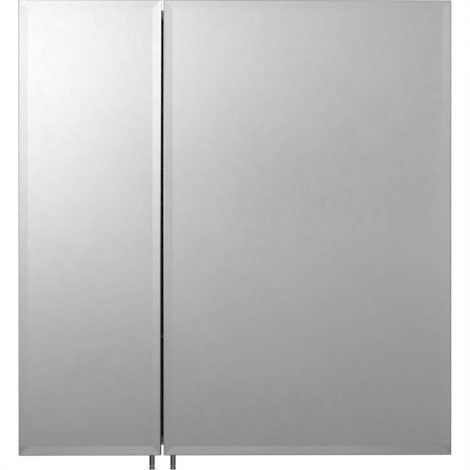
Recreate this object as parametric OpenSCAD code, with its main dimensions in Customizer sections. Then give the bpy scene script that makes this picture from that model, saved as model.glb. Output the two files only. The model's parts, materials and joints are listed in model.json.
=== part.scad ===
// Two-door mirrored medicine cabinet, hung on a wall.
// Millimetres, +Z up, doors face -Y. The origin is on the back face, at the centre
// of the four wall fixing holes.

/* [Overall size] */
// Width over the two doors
overall_w = 609.6; // [580:0.1:660]
// Height of the doors, without the pulls
overall_h = 641.35; // [600:0.05:700]
// Depth from the wall to the front of the mirrors
overall_d = 133.35; // [125:0.05:150]

/* [Doors] */
// Width of the narrow left door
narrow_door_w = 200.6; // [180:0.1:230]
// Gap between the two doors
door_gap = 3; // [2:0.1:4]
// How far the doors reach past the box on every side
overhang = 12.7; // [11.5:0.1:14]
// Gap between the front edges of the box and the doors
front_gap = 3; // [3:0.1:4]
// Thickness of the door boards
door_board_t = 14.5; // [14:0.5:18]
// How far a door board stands in from the edges of its mirror
door_board_inset = 1.5; // [1:0.1:2.5]
// Opening angle of each door, used by the arm clearance
door_swing = 105; // [95:1:105]

/* [Mirrors] */
// Thickness of the mirror glass
glass_t = 5; // [4:0.5:6]
// Width of the bevel round each mirror
bevel_w = 12.7; // [8:0.1:20]
// How much glass the bevel takes off at the edge
bevel_d = 1.3; // [0.8:0.1:2]

/* [Box] */
// Thickness of the side, top and bottom boards
board_t = 12; // [12:0.5:13]
// Thickness of the back panel
back_t = 3; // [3:0.5:5]
// Width of the rebate that takes the back panel
rebate_w = 6; // [5:0.5:7]
// Height of the fixing rails
rail_h = 50; // [40:1:70]
// Thickness of the fixing rails
rail_t = 12; // [10:0.5:15]

/* [Wall fixing] */
// Distance between the wall fixing holes across
fixing_x = 406.4; // [350:0.1:480]
// Distance of the wall fixing holes from the inner face of the top or bottom board
fixing_drop = 25; // [15:0.5:30]
// Diameter of the wall fixing holes
fixing_hole_d = 5.5; // [4.5:0.1:6.5]

/* [Shelves] */
// Thickness of the glass shelves
shelf_t = 5; // [4:0.5:6]
// Depth of the glass shelves, front to back
shelf_depth = 86; // [75:1:88]
// Gap between each end of a shelf and the side board
shelf_end_gap = 1.6; // [1.2:0.1:3]
// Gap between the shelves and the back panel
shelf_back_gap = 3; // [2:0.5:6]
// Step between the shelf pin holes
pin_pitch = 32; // [28:0.5:34]
// Number of steps between one shelf and the next
shelf_steps = 5; // [3:1:6]
// Number of pin holes above the middle shelf, and below it
pin_rows = 6; // [6:1:6]
// Diameter of the shelf pins
shelf_pin_d = 5; // [4:0.1:6]
// Distance of the rear pin holes from the rear edge of a shelf
pin_setback = 14; // [10:0.5:20]
// How deep the pins go into the side boards
pin_bite = 8; // [6:0.5:9]
// How far the pins reach under a shelf
pin_reach = 9; // [7:0.5:12]
// Diameter of the collar on a shelf pin
pin_collar_d = 8; // [7:0.5:10]
// Thickness of the collar on a shelf pin
pin_collar_t = 1; // [0.6:0.1:1]

/* [Hinges] */
// Distance of the hinges above and below the middle
hinge_z = 228; // [222:1:240]
// Diameter of the hinge cup
cup_d = 35; // [35:0.5:36]
// Depth of the hinge cup below the face of the door board
cup_depth = 11.5; // [11.5:0.1:12.5]
// Wall of the hinge cup
cup_wall = 0.8; // [0.6:0.1:0.8]
// Board left between the door board's edge and the cup
cup_edge = 3; // [3:0.1:4]
// Thickness of the cup flange
flange_t = 1; // [0.8:0.1:1]
// Distance between the two screws of a cup
cup_screw_pitch = 48; // [46:1:52]
// Width of the flange at its screws
flange_ear_w = 12; // [10:0.5:14]
// Distance of the hinge pin from the door board's edge
pivot_in = 6.8; // [6.6:0.1:7]
// Distance of the hinge pin below the face of the door board
pivot_deep = 8; // [7.8:0.1:8]
// Diameter of the hinge pin
hinge_pin_d = 3; // [2:0.1:3]
// Width of the arm where it enters the cup
arm_w = 8; // [6:0.5:8]
// Width of the arm on the side board
arm_foot_w = 16; // [14:1:20]
// Thickness of the arm
arm_t = 2.5; // [2:0.1:2.5]
// Thickness of the mounting plates
plate_t = 2.8; // [2.4:0.1:3.5]
// Length of the mounting plates
plate_l = 40; // [34:1:50]
// Height of the mounting plates
plate_h = 34; // [32:1:44]
// Distance of the mounting plates behind the front edge of the box
plate_setback = 4; // [4:0.5:8]
// Distance of the plate screws from the upper and lower edge of a plate
plate_screw_inset = 4.5; // [4:0.1:6]
// Distance of the arm screw from the front of its plate
arm_screw_in = 28; // [24:1:30]
// Thickness of the closing springs
spring_t = 0.6; // [0.4:0.1:0.8]
// Width of the closing springs
spring_w = 7; // [4:0.5:8]
// How far the closing springs turn up from the cup's floor
spring_rise = 6.2; // [5:0.1:8]
// How far the turned-up end leans towards the arm
spring_lean = 2.3; // [1.5:0.1:3]

/* [Screws and dowels] */
// Shank diameter of the hinge plate and arm screws
plate_screw_d = 4; // [3:0.1:4.5]
// Shank diameter of the hinge cup screws
cup_screw_d = 3.5; // [3:0.1:4]
// Shank diameter of the assembly screws
assembly_screw_d = 4; // [3:0.1:4.5]
// Length of the assembly screws
assembly_screw_l = 40; // [30:1:50]
// Distance of the rear assembly screws from the back of the box
rear_screw_in = 20; // [15:1:26]
// Distance of the front assembly screws from the front edge of the box
front_screw_in = 14; // [10:1:20]
// Diameter of the dowels
dowel_d = 6; // [5:0.5:8]
// Length of the dowels
dowel_l = 30; // [24:1:36]
// Distance of the dowels from the assembly screws beside them
dowel_step = 18; // [12:1:24]
// How deep the dowels go into the side boards
dowel_bite = 8; // [6:0.5:9]
// Shank diameter of the back panel screws
back_screw_d = 2.5; // [2:0.1:3]
// Length of the back panel screws
back_screw_l = 14; // [12:1:14]
// Distance of the back panel screws from the panel's edge
back_screw_inset = 3; // [2.8:0.1:4]
// Height of the outer back panel screws above and below the middle
back_screw_z = 237; // [200:1:250]
// Distance of the rail screws from the middle of the cabinet
rail_screw_x = 84; // [40:1:120]
// Distance of the rail screws from the inner face of the top or bottom board
rail_screw_drop = 17; // [12:1:20]

/* [Pulls and bumpers] */
// Diameter of the bar pulls
pull_d = 7.3; // [6:0.1:9]
// How far the pulls hang below the mirrors
pull_drop = 21.5; // [18:0.5:40]
// Distance of a pull's centre from the inner edge of its mirror
pull_inset = 13.3; // [11:0.1:30]
// Diameter of the collar near the end of a pull
pull_collar_d = 8.3; // [8:0.1:10]
// Diameter of the threaded stud in a pull
stud_d = 4; // [3:0.5:5]
// Length of the threaded stud
stud_l = 28; // [24:1:40]
// Diameter of the bumpers
bumper_d = 8; // [6:0.5:10]

/* [Hidden] */
$fn = 48;
// clearance round a fixed shank, and round a turning pin
fix_c = 0.02;
run_c = 0.05;
// space left round the back panel in its rebate
panel_c = 0.2;
// space left between a door and whatever it closes against
air = 0.3;

box_w = overall_w - 2 * overhang;
box_h = overall_h - 2 * overhang;
door_t = door_board_t + glass_t;
box_d = overall_d - door_t - front_gap;
inner_x = box_w / 2 - board_t;
inner_z = box_h / 2 - board_t;
wide_door_w = overall_w - narrow_door_w - door_gap;

// planes across the depth
box_front_y = -box_d;
board_back_y = box_front_y - front_gap;
board_front_y = board_back_y - door_board_t;
mirror_front_y = board_front_y - glass_t;

// edges of the doors at the gap
left_inner_x = -overall_w / 2 + narrow_door_w;
right_inner_x = left_inner_x + door_gap;

// wall fixing
fixing_z = 2 * (inner_z - fixing_drop);

// shelves
shelf_back_y = -back_t - shelf_back_gap;
shelf_w = 2 * (inner_x - shelf_end_gap);
pin_rear_y = shelf_back_y - pin_setback;
pin_front_y = shelf_back_y - shelf_depth + pin_setback;
shelf_gap = shelf_steps * pin_pitch;
pin_hole_d = shelf_pin_d + 2 * run_c;
pin_hole_depth = pin_bite + 1;

// hinges, seen on the left side: x from the side board's inner face, y from the box's front edge
edge_x = -(overhang + board_t - door_board_inset);
pivot_x = edge_x + pivot_in;
pivot_y = -front_gap - pivot_deep;
cup_x = edge_x + cup_edge + cup_d / 2;
cup_r = cup_d / 2;
knuckle_r = 2.4;
cup_floor_t = 0.8;
cup_floor_y = -front_gap - cup_depth + cup_floor_t;
crank_top = -0.4;
arm_short = 2;
spring_air = 0.4;
lug_gap = 0.3;
lug_end = 8.6;
lug_half = 3;
pin_half = lug_end - 0.2;
pin_end_c = 0.1;
plate_screw_y = plate_setback + plate_l / 2;
plate_screw_z = plate_h / 2 - plate_screw_inset;
arm_screw_y = plate_setback + arm_screw_in;
arm_end = plate_setback + plate_l - arm_short;
pan_h = 1.6;
pan_r = 3.3;
cup_screw_l = 11;
// head radius of a countersunk screw, as a share of its shank's diameter
head_ratio = 0.95;

// joints of the box
joint_z = box_h / 2 - board_t / 2;
rear_screw_y = -rear_screw_in;
front_screw_y = box_front_y + front_screw_in;
screw_ys = [rear_screw_y, front_screw_y];
dowel_ys = [rear_screw_y - dowel_step, front_screw_y + dowel_step];

// ---- placing ----

// puts a child drawn for the left side on the right side
module on_right() {
  mirror([1, 0, 0]) children();
}

// repeats a child above and below the middle
module above_and_below(z) {
  for (s = [-1, 1]) translate([0, 0, s * z]) children();
}

// moves the hinge drawing, about its own height, onto the left side board
module at_left_hinges() {
  above_and_below(hinge_z) translate([-inner_x, box_front_y, 0]) children();
}

// a round hole or shank along X from x1 to x2
module x_rod(x1, x2, r) {
  translate([x1, 0, 0]) rotate([0, 90, 0]) cylinder(h = x2 - x1, r = r);
}

// a round hole or shank along Y from y1 to y2
module y_rod(y1, y2, r) {
  translate([0, y2, 0]) rotate([90, 0, 0]) cylinder(h = y2 - y1, r = r);
}

// a flat-topped countersunk screw pointing along +X, its head's face at x = 0
module x_countersunk(d, l) {
  rotate([0, 90, 0]) {
    cylinder(h = d / 2, r1 = d * head_ratio, r2 = d / 2);
    cylinder(h = l, r = d / 2);
  }
}

// the hole that takes such a screw
module x_countersink(d, l) {
  rotate([0, 90, 0]) {
    cylinder(h = d / 2, r1 = d * head_ratio + run_c, r2 = d / 2 + run_c);
    translate([0, 0, -1]) cylinder(h = 1, r = d * head_ratio + run_c);
    cylinder(h = l, r = d / 2 + fix_c);
  }
}

// the screws that hold one side board to the top and bottom boards
module left_assembly(screw = true) {
  above_and_below(joint_z) {
    for (y = screw_ys) {
      translate([-box_w / 2, y, 0]) {
        if (screw) x_countersunk(assembly_screw_d, assembly_screw_l);
        else x_countersink(assembly_screw_d, assembly_screw_l);
      }
    }
  }
}

// the dowels of one side board
module left_dowels(c = 0) {
  above_and_below(joint_z) {
    for (y = dowel_ys) {
      translate([-inner_x - dowel_bite, y, 0]) x_rod(-c, dowel_l + c, dowel_d / 2 + c);
    }
  }
}

// ---- box ----

// side board with the rebate, the rows of shelf pin holes and the hinge screw holes
module side_board() {
  difference() {
    translate([0, 0, -box_h / 2]) linear_extrude(height = box_h) polygon([
      [-box_w / 2, 0],
      [-box_w / 2, box_front_y],
      [-inner_x, box_front_y],
      [-inner_x, -back_t],
      [-box_w / 2 + rebate_w, -back_t],
      [-box_w / 2 + rebate_w, 0]
    ]);
    for (y = [pin_rear_y, pin_front_y]) {
      for (i = [-pin_rows : pin_rows]) {
        translate([-inner_x, y, i * pin_pitch]) x_rod(-pin_hole_depth, 1, pin_hole_d / 2);
      }
    }
    at_left_hinges() {
      for (s = [-1, 1]) {
        translate([0, plate_screw_y, s * plate_screw_z]) {
          x_rod(-board_t + 2, 1, plate_screw_d / 2 + fix_c);
        }
      }
      translate([0, arm_screw_y, 0]) x_rod(-board_t + 2, 1, plate_screw_d / 2 + fix_c);
    }
    left_assembly(screw = false);
    left_dowels(c = fix_c);
    at_back_screws() back_screw(c = fix_c);
  }
}

module left_side_board() {
  color("white") side_board();
}

module right_side_board() {
  color("white") on_right() side_board();
}

// top board; the bottom board is the same one upside down
module cross_board() {
  difference() {
    translate([-inner_x, 0, 0]) rotate([90, 0, 90]) linear_extrude(height = 2 * inner_x) polygon([
      [box_front_y, inner_z],
      [box_front_y, box_h / 2],
      [0, box_h / 2],
      [0, box_h / 2 - rebate_w],
      [-back_t, box_h / 2 - rebate_w],
      [-back_t, inner_z]
    ]);
    left_assembly(screw = false);
    left_dowels(c = fix_c);
    on_right() left_assembly(screw = false);
    on_right() left_dowels(c = fix_c);
  }
}

module top_board() {
  color("white") cross_board();
}

module bottom_board() {
  color("white") mirror([0, 0, 1]) cross_board();
}

// places of the screws round the back panel, and of those into the rails
module at_back_screws() {
  for (s = [-1, 1]) {
    for (z = [-back_screw_z, 0, back_screw_z]) {
      translate([s * (box_w / 2 - rebate_w - back_screw_inset), 0, z]) children();
    }
  }
  above_and_below(inner_z - rail_screw_drop) {
    for (x = [-rail_screw_x, rail_screw_x]) translate([x, 0, 0]) children();
  }
}

module back_screw(c = 0) {
  rotate([0, 0, -90]) {
    rotate([0, 90, 0]) {
      cylinder(h = 1.5, r1 = back_screw_d + c, r2 = back_screw_d / 2 + c);
      cylinder(h = back_screw_l, r = back_screw_d / 2 + c);
    }
  }
}

module at_fixings() {
  for (x = [-fixing_x / 2, fixing_x / 2]) {
    above_and_below(fixing_z / 2) translate([x, 0, 0]) children();
  }
}

module back_panel() {
  color("gainsboro") difference() {
    translate([-box_w / 2 + rebate_w + panel_c, -back_t, -box_h / 2 + rebate_w + panel_c]) {
      cube([box_w - 2 * (rebate_w + panel_c), back_t, box_h - 2 * (rebate_w + panel_c)]);
    }
    at_back_screws() back_screw(c = fix_c);
    at_fixings() y_rod(-back_t - 1, 1, fixing_hole_d / 2);
  }
}

module fixing_rail() {
  difference() {
    translate([-inner_x, -back_t - rail_t, inner_z - rail_h]) cube([2 * inner_x, rail_t, rail_h]);
    at_back_screws() back_screw(c = fix_c);
    at_fixings() y_rod(-back_t - rail_t - 1, 1, fixing_hole_d / 2);
  }
}

module upper_fixing_rail() {
  color("white") fixing_rail();
}

module lower_fixing_rail() {
  color("white") mirror([0, 0, 1]) fixing_rail();
}

module assembly_screws() {
  color("silver") {
    left_assembly();
    on_right() left_assembly();
  }
}

module dowels() {
  color("burlywood") {
    left_dowels();
    on_right() left_dowels();
  }
}

module back_panel_screws() {
  color("silver") at_back_screws() back_screw();
}

// ---- shelves ----

module glass_shelf(step) {
  translate([-shelf_w / 2, shelf_back_y - shelf_depth, step * shelf_gap + shelf_pin_d / 2]) {
    cube([shelf_w, shelf_depth, shelf_t]);
  }
}

module upper_shelf() {
  color("lightcyan") glass_shelf(1);
}

module middle_shelf() {
  color("lightcyan") glass_shelf(0);
}

module lower_shelf() {
  color("lightcyan") glass_shelf(-1);
}

// one pin in the left side board: stem, collar and peg
module shelf_pin() {
  x_rod(-pin_bite, pin_reach, shelf_pin_d / 2);
  difference() {
    x_rod(0, pin_collar_t, pin_collar_d / 2);
    translate([shelf_end_gap - 1, -pin_collar_d, shelf_pin_d / 2]) {
      cube([pin_collar_t + 2, 2 * pin_collar_d, pin_collar_d]);
    }
  }
}

module left_shelf_pins() {
  for (step = [-1 : 1]) {
    for (y = [pin_rear_y, pin_front_y]) {
      translate([-inner_x, y, step * shelf_gap]) shelf_pin();
    }
  }
}

module shelf_pins() {
  color("silver") {
    left_shelf_pins();
    on_right() left_shelf_pins();
  }
}

// ---- hinge parts on the box ----

module left_plates() {
  at_left_hinges() difference() {
    translate([0, plate_setback, -plate_h / 2]) cube([plate_t, plate_l, plate_h]);
    for (s = [-1, 1]) {
      translate([plate_t, plate_screw_y, s * plate_screw_z]) {
        mirror([1, 0, 0]) x_countersink(plate_screw_d, plate_t + 1);
      }
    }
    translate([0, arm_screw_y, 0]) x_rod(-1, plate_t + 1, plate_screw_d / 2 + fix_c);
  }
}

module hinge_mounting_plates() {
  color("gray") {
    left_plates();
    on_right() left_plates();
  }
}

module left_plate_screws() {
  at_left_hinges() for (s = [-1, 1]) {
    translate([plate_t, plate_screw_y, s * plate_screw_z]) {
      mirror([1, 0, 0]) x_countersunk(plate_screw_d, plate_t + board_t - 2.5);
    }
  }
}

module hinge_plate_screws() {
  color("silver") {
    left_plate_screws();
    on_right() left_plate_screws();
  }
}

// cranked arm: a knuckle round the pin, a crank along the cup's floor, a leg out of the
// cup and a wide foot on the mounting plate
module left_arms() {
  at_left_hinges() difference() {
    union() {
      translate([0, 0, -arm_w / 2]) linear_extrude(height = arm_w) {
        translate([pivot_x, pivot_y]) circle(r = knuckle_r);
        translate([pivot_x, pivot_y - knuckle_r]) {
          square([plate_t + arm_t - pivot_x, knuckle_r + crank_top]);
        }
        translate([plate_t, pivot_y - knuckle_r]) square([arm_t, arm_end - pivot_y]);
      }
      translate([plate_t, plate_setback, -arm_foot_w / 2]) {
        cube([arm_t, arm_end - plate_setback, arm_foot_w]);
      }
    }
    translate([pivot_x, pivot_y, -arm_w]) cylinder(h = 2 * arm_w, r = hinge_pin_d / 2 + run_c);
    translate([0, arm_screw_y, 0]) x_rod(0, 2 * arm_t + plate_t, plate_screw_d / 2 + fix_c);
  }
}

module left_hinge_arms() {
  color("silver") left_arms();
}

module right_hinge_arms() {
  color("silver") on_right() left_arms();
}

module left_arm_screws() {
  at_left_hinges() translate([0, arm_screw_y, 0]) {
    x_rod(-board_t + 2.5, plate_t + arm_t, plate_screw_d / 2);
    x_rod(plate_t + arm_t, plate_t + arm_t + pan_h, pan_r);
  }
}

module hinge_arm_screws() {
  color("silver") {
    left_arm_screws();
    on_right() left_arm_screws();
  }
}

// ---- hinge parts on a door, drawn for the left door ----

module cups() {
  at_left_hinges() difference() {
    union() {
      // cup and flange
      difference() {
        union() {
          translate([cup_x, 0, 0]) y_rod(-front_gap - cup_depth, -front_gap + flange_t, cup_r);
          translate([cup_x - flange_ear_w / 2, -front_gap, -cup_screw_pitch / 2]) {
            cube([flange_ear_w, flange_t, cup_screw_pitch]);
          }
          above_and_below(cup_screw_pitch / 2) {
            translate([cup_x, 0, 0]) y_rod(-front_gap, -front_gap + flange_t, flange_ear_w / 2);
          }
        }
        translate([cup_x, 0, 0]) y_rod(cup_floor_y, 1, cup_r - cup_wall);
      }
      // lugs that hold the pin
      intersection() {
        translate([cup_x, 0, 0]) y_rod(-front_gap - cup_depth, -front_gap, cup_r);
        for (s = [-1, 1]) {
          translate([
            pivot_x - lug_half,
            cup_floor_y - cup_floor_t / 2,
            s * (arm_w / 2 + lug_gap + lug_end) / 2 - (lug_end - arm_w / 2 - lug_gap) / 2
          ]) {
            cube([
              2 * lug_half,
              pivot_y + knuckle_r - cup_floor_y + cup_floor_t / 2,
              lug_end - arm_w / 2 - lug_gap
            ]);
          }
        }
      }
    }
    translate([pivot_x, pivot_y, -pin_half]) {
      cylinder(h = 2 * pin_half, r = hinge_pin_d / 2 + fix_c);
    }
    above_and_below(cup_screw_pitch / 2) {
      translate([cup_x, 0, 0]) y_rod(-front_gap - 1, 0, cup_screw_d / 2 + fix_c);
    }
  }
}

module pins() {
  at_left_hinges() translate([pivot_x, pivot_y, pin_end_c - pin_half]) {
    cylinder(h = 2 * (pin_half - pin_end_c), r = hinge_pin_d / 2);
  }
}

// flat spring that lies on the cup's floor and turns up beside the arm
module springs() {
  spring_x = plate_t + arm_t + spring_air;
  spring_end = cup_x + sqrt(pow(cup_r - cup_wall, 2) - pow(spring_w / 2, 2)) - air;
  at_left_hinges() translate([0, 0, -spring_w / 2]) linear_extrude(height = spring_w) polygon([
    [spring_end, cup_floor_y],
    [spring_end, cup_floor_y + spring_t],
    [spring_x + spring_lean + spring_t, cup_floor_y + spring_t],
    [spring_x + spring_t, cup_floor_y + spring_rise],
    [spring_x, cup_floor_y + spring_rise],
    [spring_x + spring_lean, cup_floor_y]
  ]);
}

module cup_screws() {
  at_left_hinges() above_and_below(cup_screw_pitch / 2) translate([cup_x, -front_gap, 0]) {
    y_rod(-cup_screw_l, flange_t, cup_screw_d / 2);
    y_rod(flange_t, flange_t + pan_h, pan_r);
  }
}

// the holes for the hinges in a door board
module hinge_bores() {
  at_left_hinges() translate([cup_x, -front_gap, 0]) {
    y_rod(-cup_depth, 1, cup_r + fix_c);
    above_and_below(cup_screw_pitch / 2) y_rod(-cup_screw_l - 0.5, 1, cup_screw_d / 2 + fix_c);
  }
}

// ---- doors ----

// the glass that one bevel takes off: its edge lies along Y, its outer side faces +X
module bevel_cut(l) {
  rotate([90, 0, 0]) translate([0, 0, -l / 2 - 1]) linear_extrude(height = l + 2) polygon([
    [-bevel_w, 0],
    [1, -bevel_d * (bevel_w + 1) / bevel_w],
    [1, 1],
    [-bevel_w, 1]
  ]);
}

// bevelled mirror between x1 and x2
module mirror_plate(x1, x2) {
  w = x2 - x1;
  translate([(x1 + x2) / 2, board_front_y, 0]) rotate([90, 0, 0]) difference() {
    translate([-w / 2, -overall_h / 2, 0]) cube([w, overall_h, glass_t]);
    for (a = [0, 180]) {
      rotate([0, 0, a]) translate([w / 2, 0, glass_t]) bevel_cut(overall_h);
      rotate([0, 0, a + 90]) translate([overall_h / 2, 0, glass_t]) bevel_cut(w);
    }
  }
}

// place of a pull, on the line between board and mirror edges
module at_pull(x) {
  translate([x, board_back_y - door_board_t / 2, -overall_h / 2]) children();
}

module door_board(x1, x2) {
  translate([x1 + door_board_inset, board_front_y, -overall_h / 2 + door_board_inset]) {
    cube([x2 - x1 - 2 * door_board_inset, door_board_t, overall_h - 2 * door_board_inset]);
  }
}

module stud_hole(x) {
  at_pull(x) cylinder(h = stud_l, r = stud_d / 2 + fix_c);
}

// round bar with a collar near its end, hung on the stud
module pull(x) {
  r = pull_d / 2;
  rc = pull_collar_d / 2;
  top = door_board_inset;
  at_pull(x) difference() {
    rotate_extrude() polygon([
      [0, top],
      [r, top],
      [r, -pull_drop + 7],
      [r - 0.3, -pull_drop + 6.7],
      [r - 0.3, -pull_drop + 6.3],
      [rc, -pull_drop + 5.9],
      [rc, -pull_drop + 3.2],
      [r - 0.5, -pull_drop + 2.6],
      [r - 0.6, -pull_drop + 1.4],
      [r - 1.2, -pull_drop + 0.4],
      [r - 2.2, -pull_drop],
      [0, -pull_drop]
    ]);
    translate([0, 0, top - 8.5]) cylinder(h = 9, r = stud_d / 2 + fix_c);
  }
}

module pull_stud(x) {
  at_pull(x) translate([0, 0, door_board_inset - 8]) {
    cylinder(h = stud_l - door_board_inset + 7.7, r = stud_d / 2);
  }
}

module bumper_pair(x) {
  above_and_below(joint_z) {
    translate([x, 0, 0]) y_rod(board_back_y, box_front_y - air, bumper_d / 2);
  }
}

left_pull_x = left_inner_x - pull_inset;
right_pull_x = right_inner_x + pull_inset;

module left_mirror() {
  color("lightsteelblue") mirror_plate(-overall_w / 2, left_inner_x);
}

module left_door_board() {
  color("white") difference() {
    door_board(-overall_w / 2, left_inner_x);
    hinge_bores();
    stud_hole(left_pull_x);
  }
}

module left_hinge_cups() {
  color("silver") cups();
}

module left_hinge_pins() {
  color("gray") pins();
}

module left_hinge_springs() {
  color("dimgray") springs();
}

module left_cup_screws() {
  color("silver") cup_screws();
}

module left_pull() {
  color("silver") pull(left_pull_x);
}

module left_pull_stud() {
  color("gray") pull_stud(left_pull_x);
}

module left_bumpers() {
  color("whitesmoke") bumper_pair(left_pull_x);
}

module right_mirror() {
  color("lightsteelblue") mirror_plate(right_inner_x, overall_w / 2);
}

module right_door_board() {
  color("white") difference() {
    door_board(right_inner_x, overall_w / 2);
    on_right() hinge_bores();
    stud_hole(right_pull_x);
  }
}

module right_hinge_cups() {
  color("silver") on_right() cups();
}

module right_hinge_pins() {
  color("gray") on_right() pins();
}

module right_hinge_springs() {
  color("dimgray") on_right() springs();
}

module right_cup_screws() {
  color("silver") on_right() cup_screws();
}

module right_pull() {
  color("silver") pull(right_pull_x);
}

module right_pull_stud() {
  color("gray") pull_stud(right_pull_x);
}

module right_bumpers() {
  color("whitesmoke") bumper_pair(right_pull_x);
}

left_side_board();
right_side_board();
top_board();
bottom_board();
back_panel();
upper_fixing_rail();
lower_fixing_rail();
assembly_screws();
dowels();
back_panel_screws();
upper_shelf();
middle_shelf();
lower_shelf();
shelf_pins();
hinge_mounting_plates();
hinge_plate_screws();
left_hinge_arms();
right_hinge_arms();
hinge_arm_screws();
left_mirror();
left_door_board();
left_hinge_cups();
left_hinge_pins();
left_hinge_springs();
left_cup_screws();
left_pull();
left_pull_stud();
left_bumpers();
right_mirror();
right_door_board();
right_hinge_cups();
right_hinge_pins();
right_hinge_springs();
right_cup_screws();
right_pull();
right_pull_stud();
right_bumpers();
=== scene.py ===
"""Looks for a two-door mirrored medicine cabinet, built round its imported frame.

The box, the doors, the mirrors, the hinges and the small hardware are each a class. A
class reads its sizes from the frame, builds its meshes and dresses them in finishes. The
studio's classes make the camera, the lamps, the floor and the room that the mirrors show.
"""

from __future__ import annotations

import json
import logging
import math
from dataclasses import dataclass
from enum import Enum, IntEnum
from functools import reduce
from typing import Any, Sequence

import bmesh
import bpy
from mathutils import Matrix, Vector

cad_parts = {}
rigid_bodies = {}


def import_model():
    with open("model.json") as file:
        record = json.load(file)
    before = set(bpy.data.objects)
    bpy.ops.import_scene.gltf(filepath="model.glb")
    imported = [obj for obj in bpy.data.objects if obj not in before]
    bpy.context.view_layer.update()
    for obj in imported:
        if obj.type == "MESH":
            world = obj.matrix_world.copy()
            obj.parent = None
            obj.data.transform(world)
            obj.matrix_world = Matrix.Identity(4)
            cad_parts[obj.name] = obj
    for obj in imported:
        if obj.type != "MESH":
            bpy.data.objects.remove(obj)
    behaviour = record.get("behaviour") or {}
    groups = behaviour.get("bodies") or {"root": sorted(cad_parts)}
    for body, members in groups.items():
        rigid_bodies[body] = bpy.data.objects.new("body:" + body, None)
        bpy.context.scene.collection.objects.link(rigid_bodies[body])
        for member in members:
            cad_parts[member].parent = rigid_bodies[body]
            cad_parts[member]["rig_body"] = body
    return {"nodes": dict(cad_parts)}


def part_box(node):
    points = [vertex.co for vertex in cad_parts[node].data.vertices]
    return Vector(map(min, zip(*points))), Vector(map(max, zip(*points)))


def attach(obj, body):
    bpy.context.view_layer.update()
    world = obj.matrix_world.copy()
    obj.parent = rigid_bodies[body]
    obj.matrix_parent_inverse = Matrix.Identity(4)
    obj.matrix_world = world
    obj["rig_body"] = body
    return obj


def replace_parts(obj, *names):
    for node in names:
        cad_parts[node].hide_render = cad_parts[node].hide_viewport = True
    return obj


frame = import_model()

LOG = logging.getLogger("cabinet")
MM = 0.001
NEAR = 0.001 * MM
GLASS_IOR = 1.52
FLAT_ANGLE = math.radians(0.5)
SHARP_ANGLE = math.radians(32)
WHITE = (1.0, 1.0, 1.0)
CURVE = {False: "LINEAR", True: "SMOOTHSTEP"}
NOISE_SPAN = (0.3, 0.7)
Triple = tuple[float, float, float]
Colour = Triple
Point = tuple[float, float]
Socket = bpy.types.NodeSocket
Piece = bpy.types.Object
Shape = bmesh.types.BMesh
Vert = bmesh.types.BMVert
Face = bmesh.types.BMFace


class Side(Enum):
    """Which of the two doors a piece belongs to."""

    LEFT = "left"
    RIGHT = "right"

    def node(self, part: str) -> str:
        """Name of one of this door's nodes in the frame."""
        return f"{self.value}_{part}"


class Axis(IntEnum):
    """The frame's axes: across, to the rear and up."""

    X = 0
    Y = 1
    Z = 2


def bevel(node: str) -> Point:
    """Measures the bevel of a mirror's node.

    Args:
        node: The mirror's node.

    Returns:
        The bevel's width and depth.
    """
    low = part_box(node)[0]
    points = [v.co for v in frame["nodes"][node].data.vertices]
    flat = [p.x for p in points if abs(p.y - low.y) < NEAR]
    rim = [p.y for p in points if abs(p.x - low.x) < NEAR]
    return min(flat) - low.x, min(rim) - low.y


# ---- shader graphs ----


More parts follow.
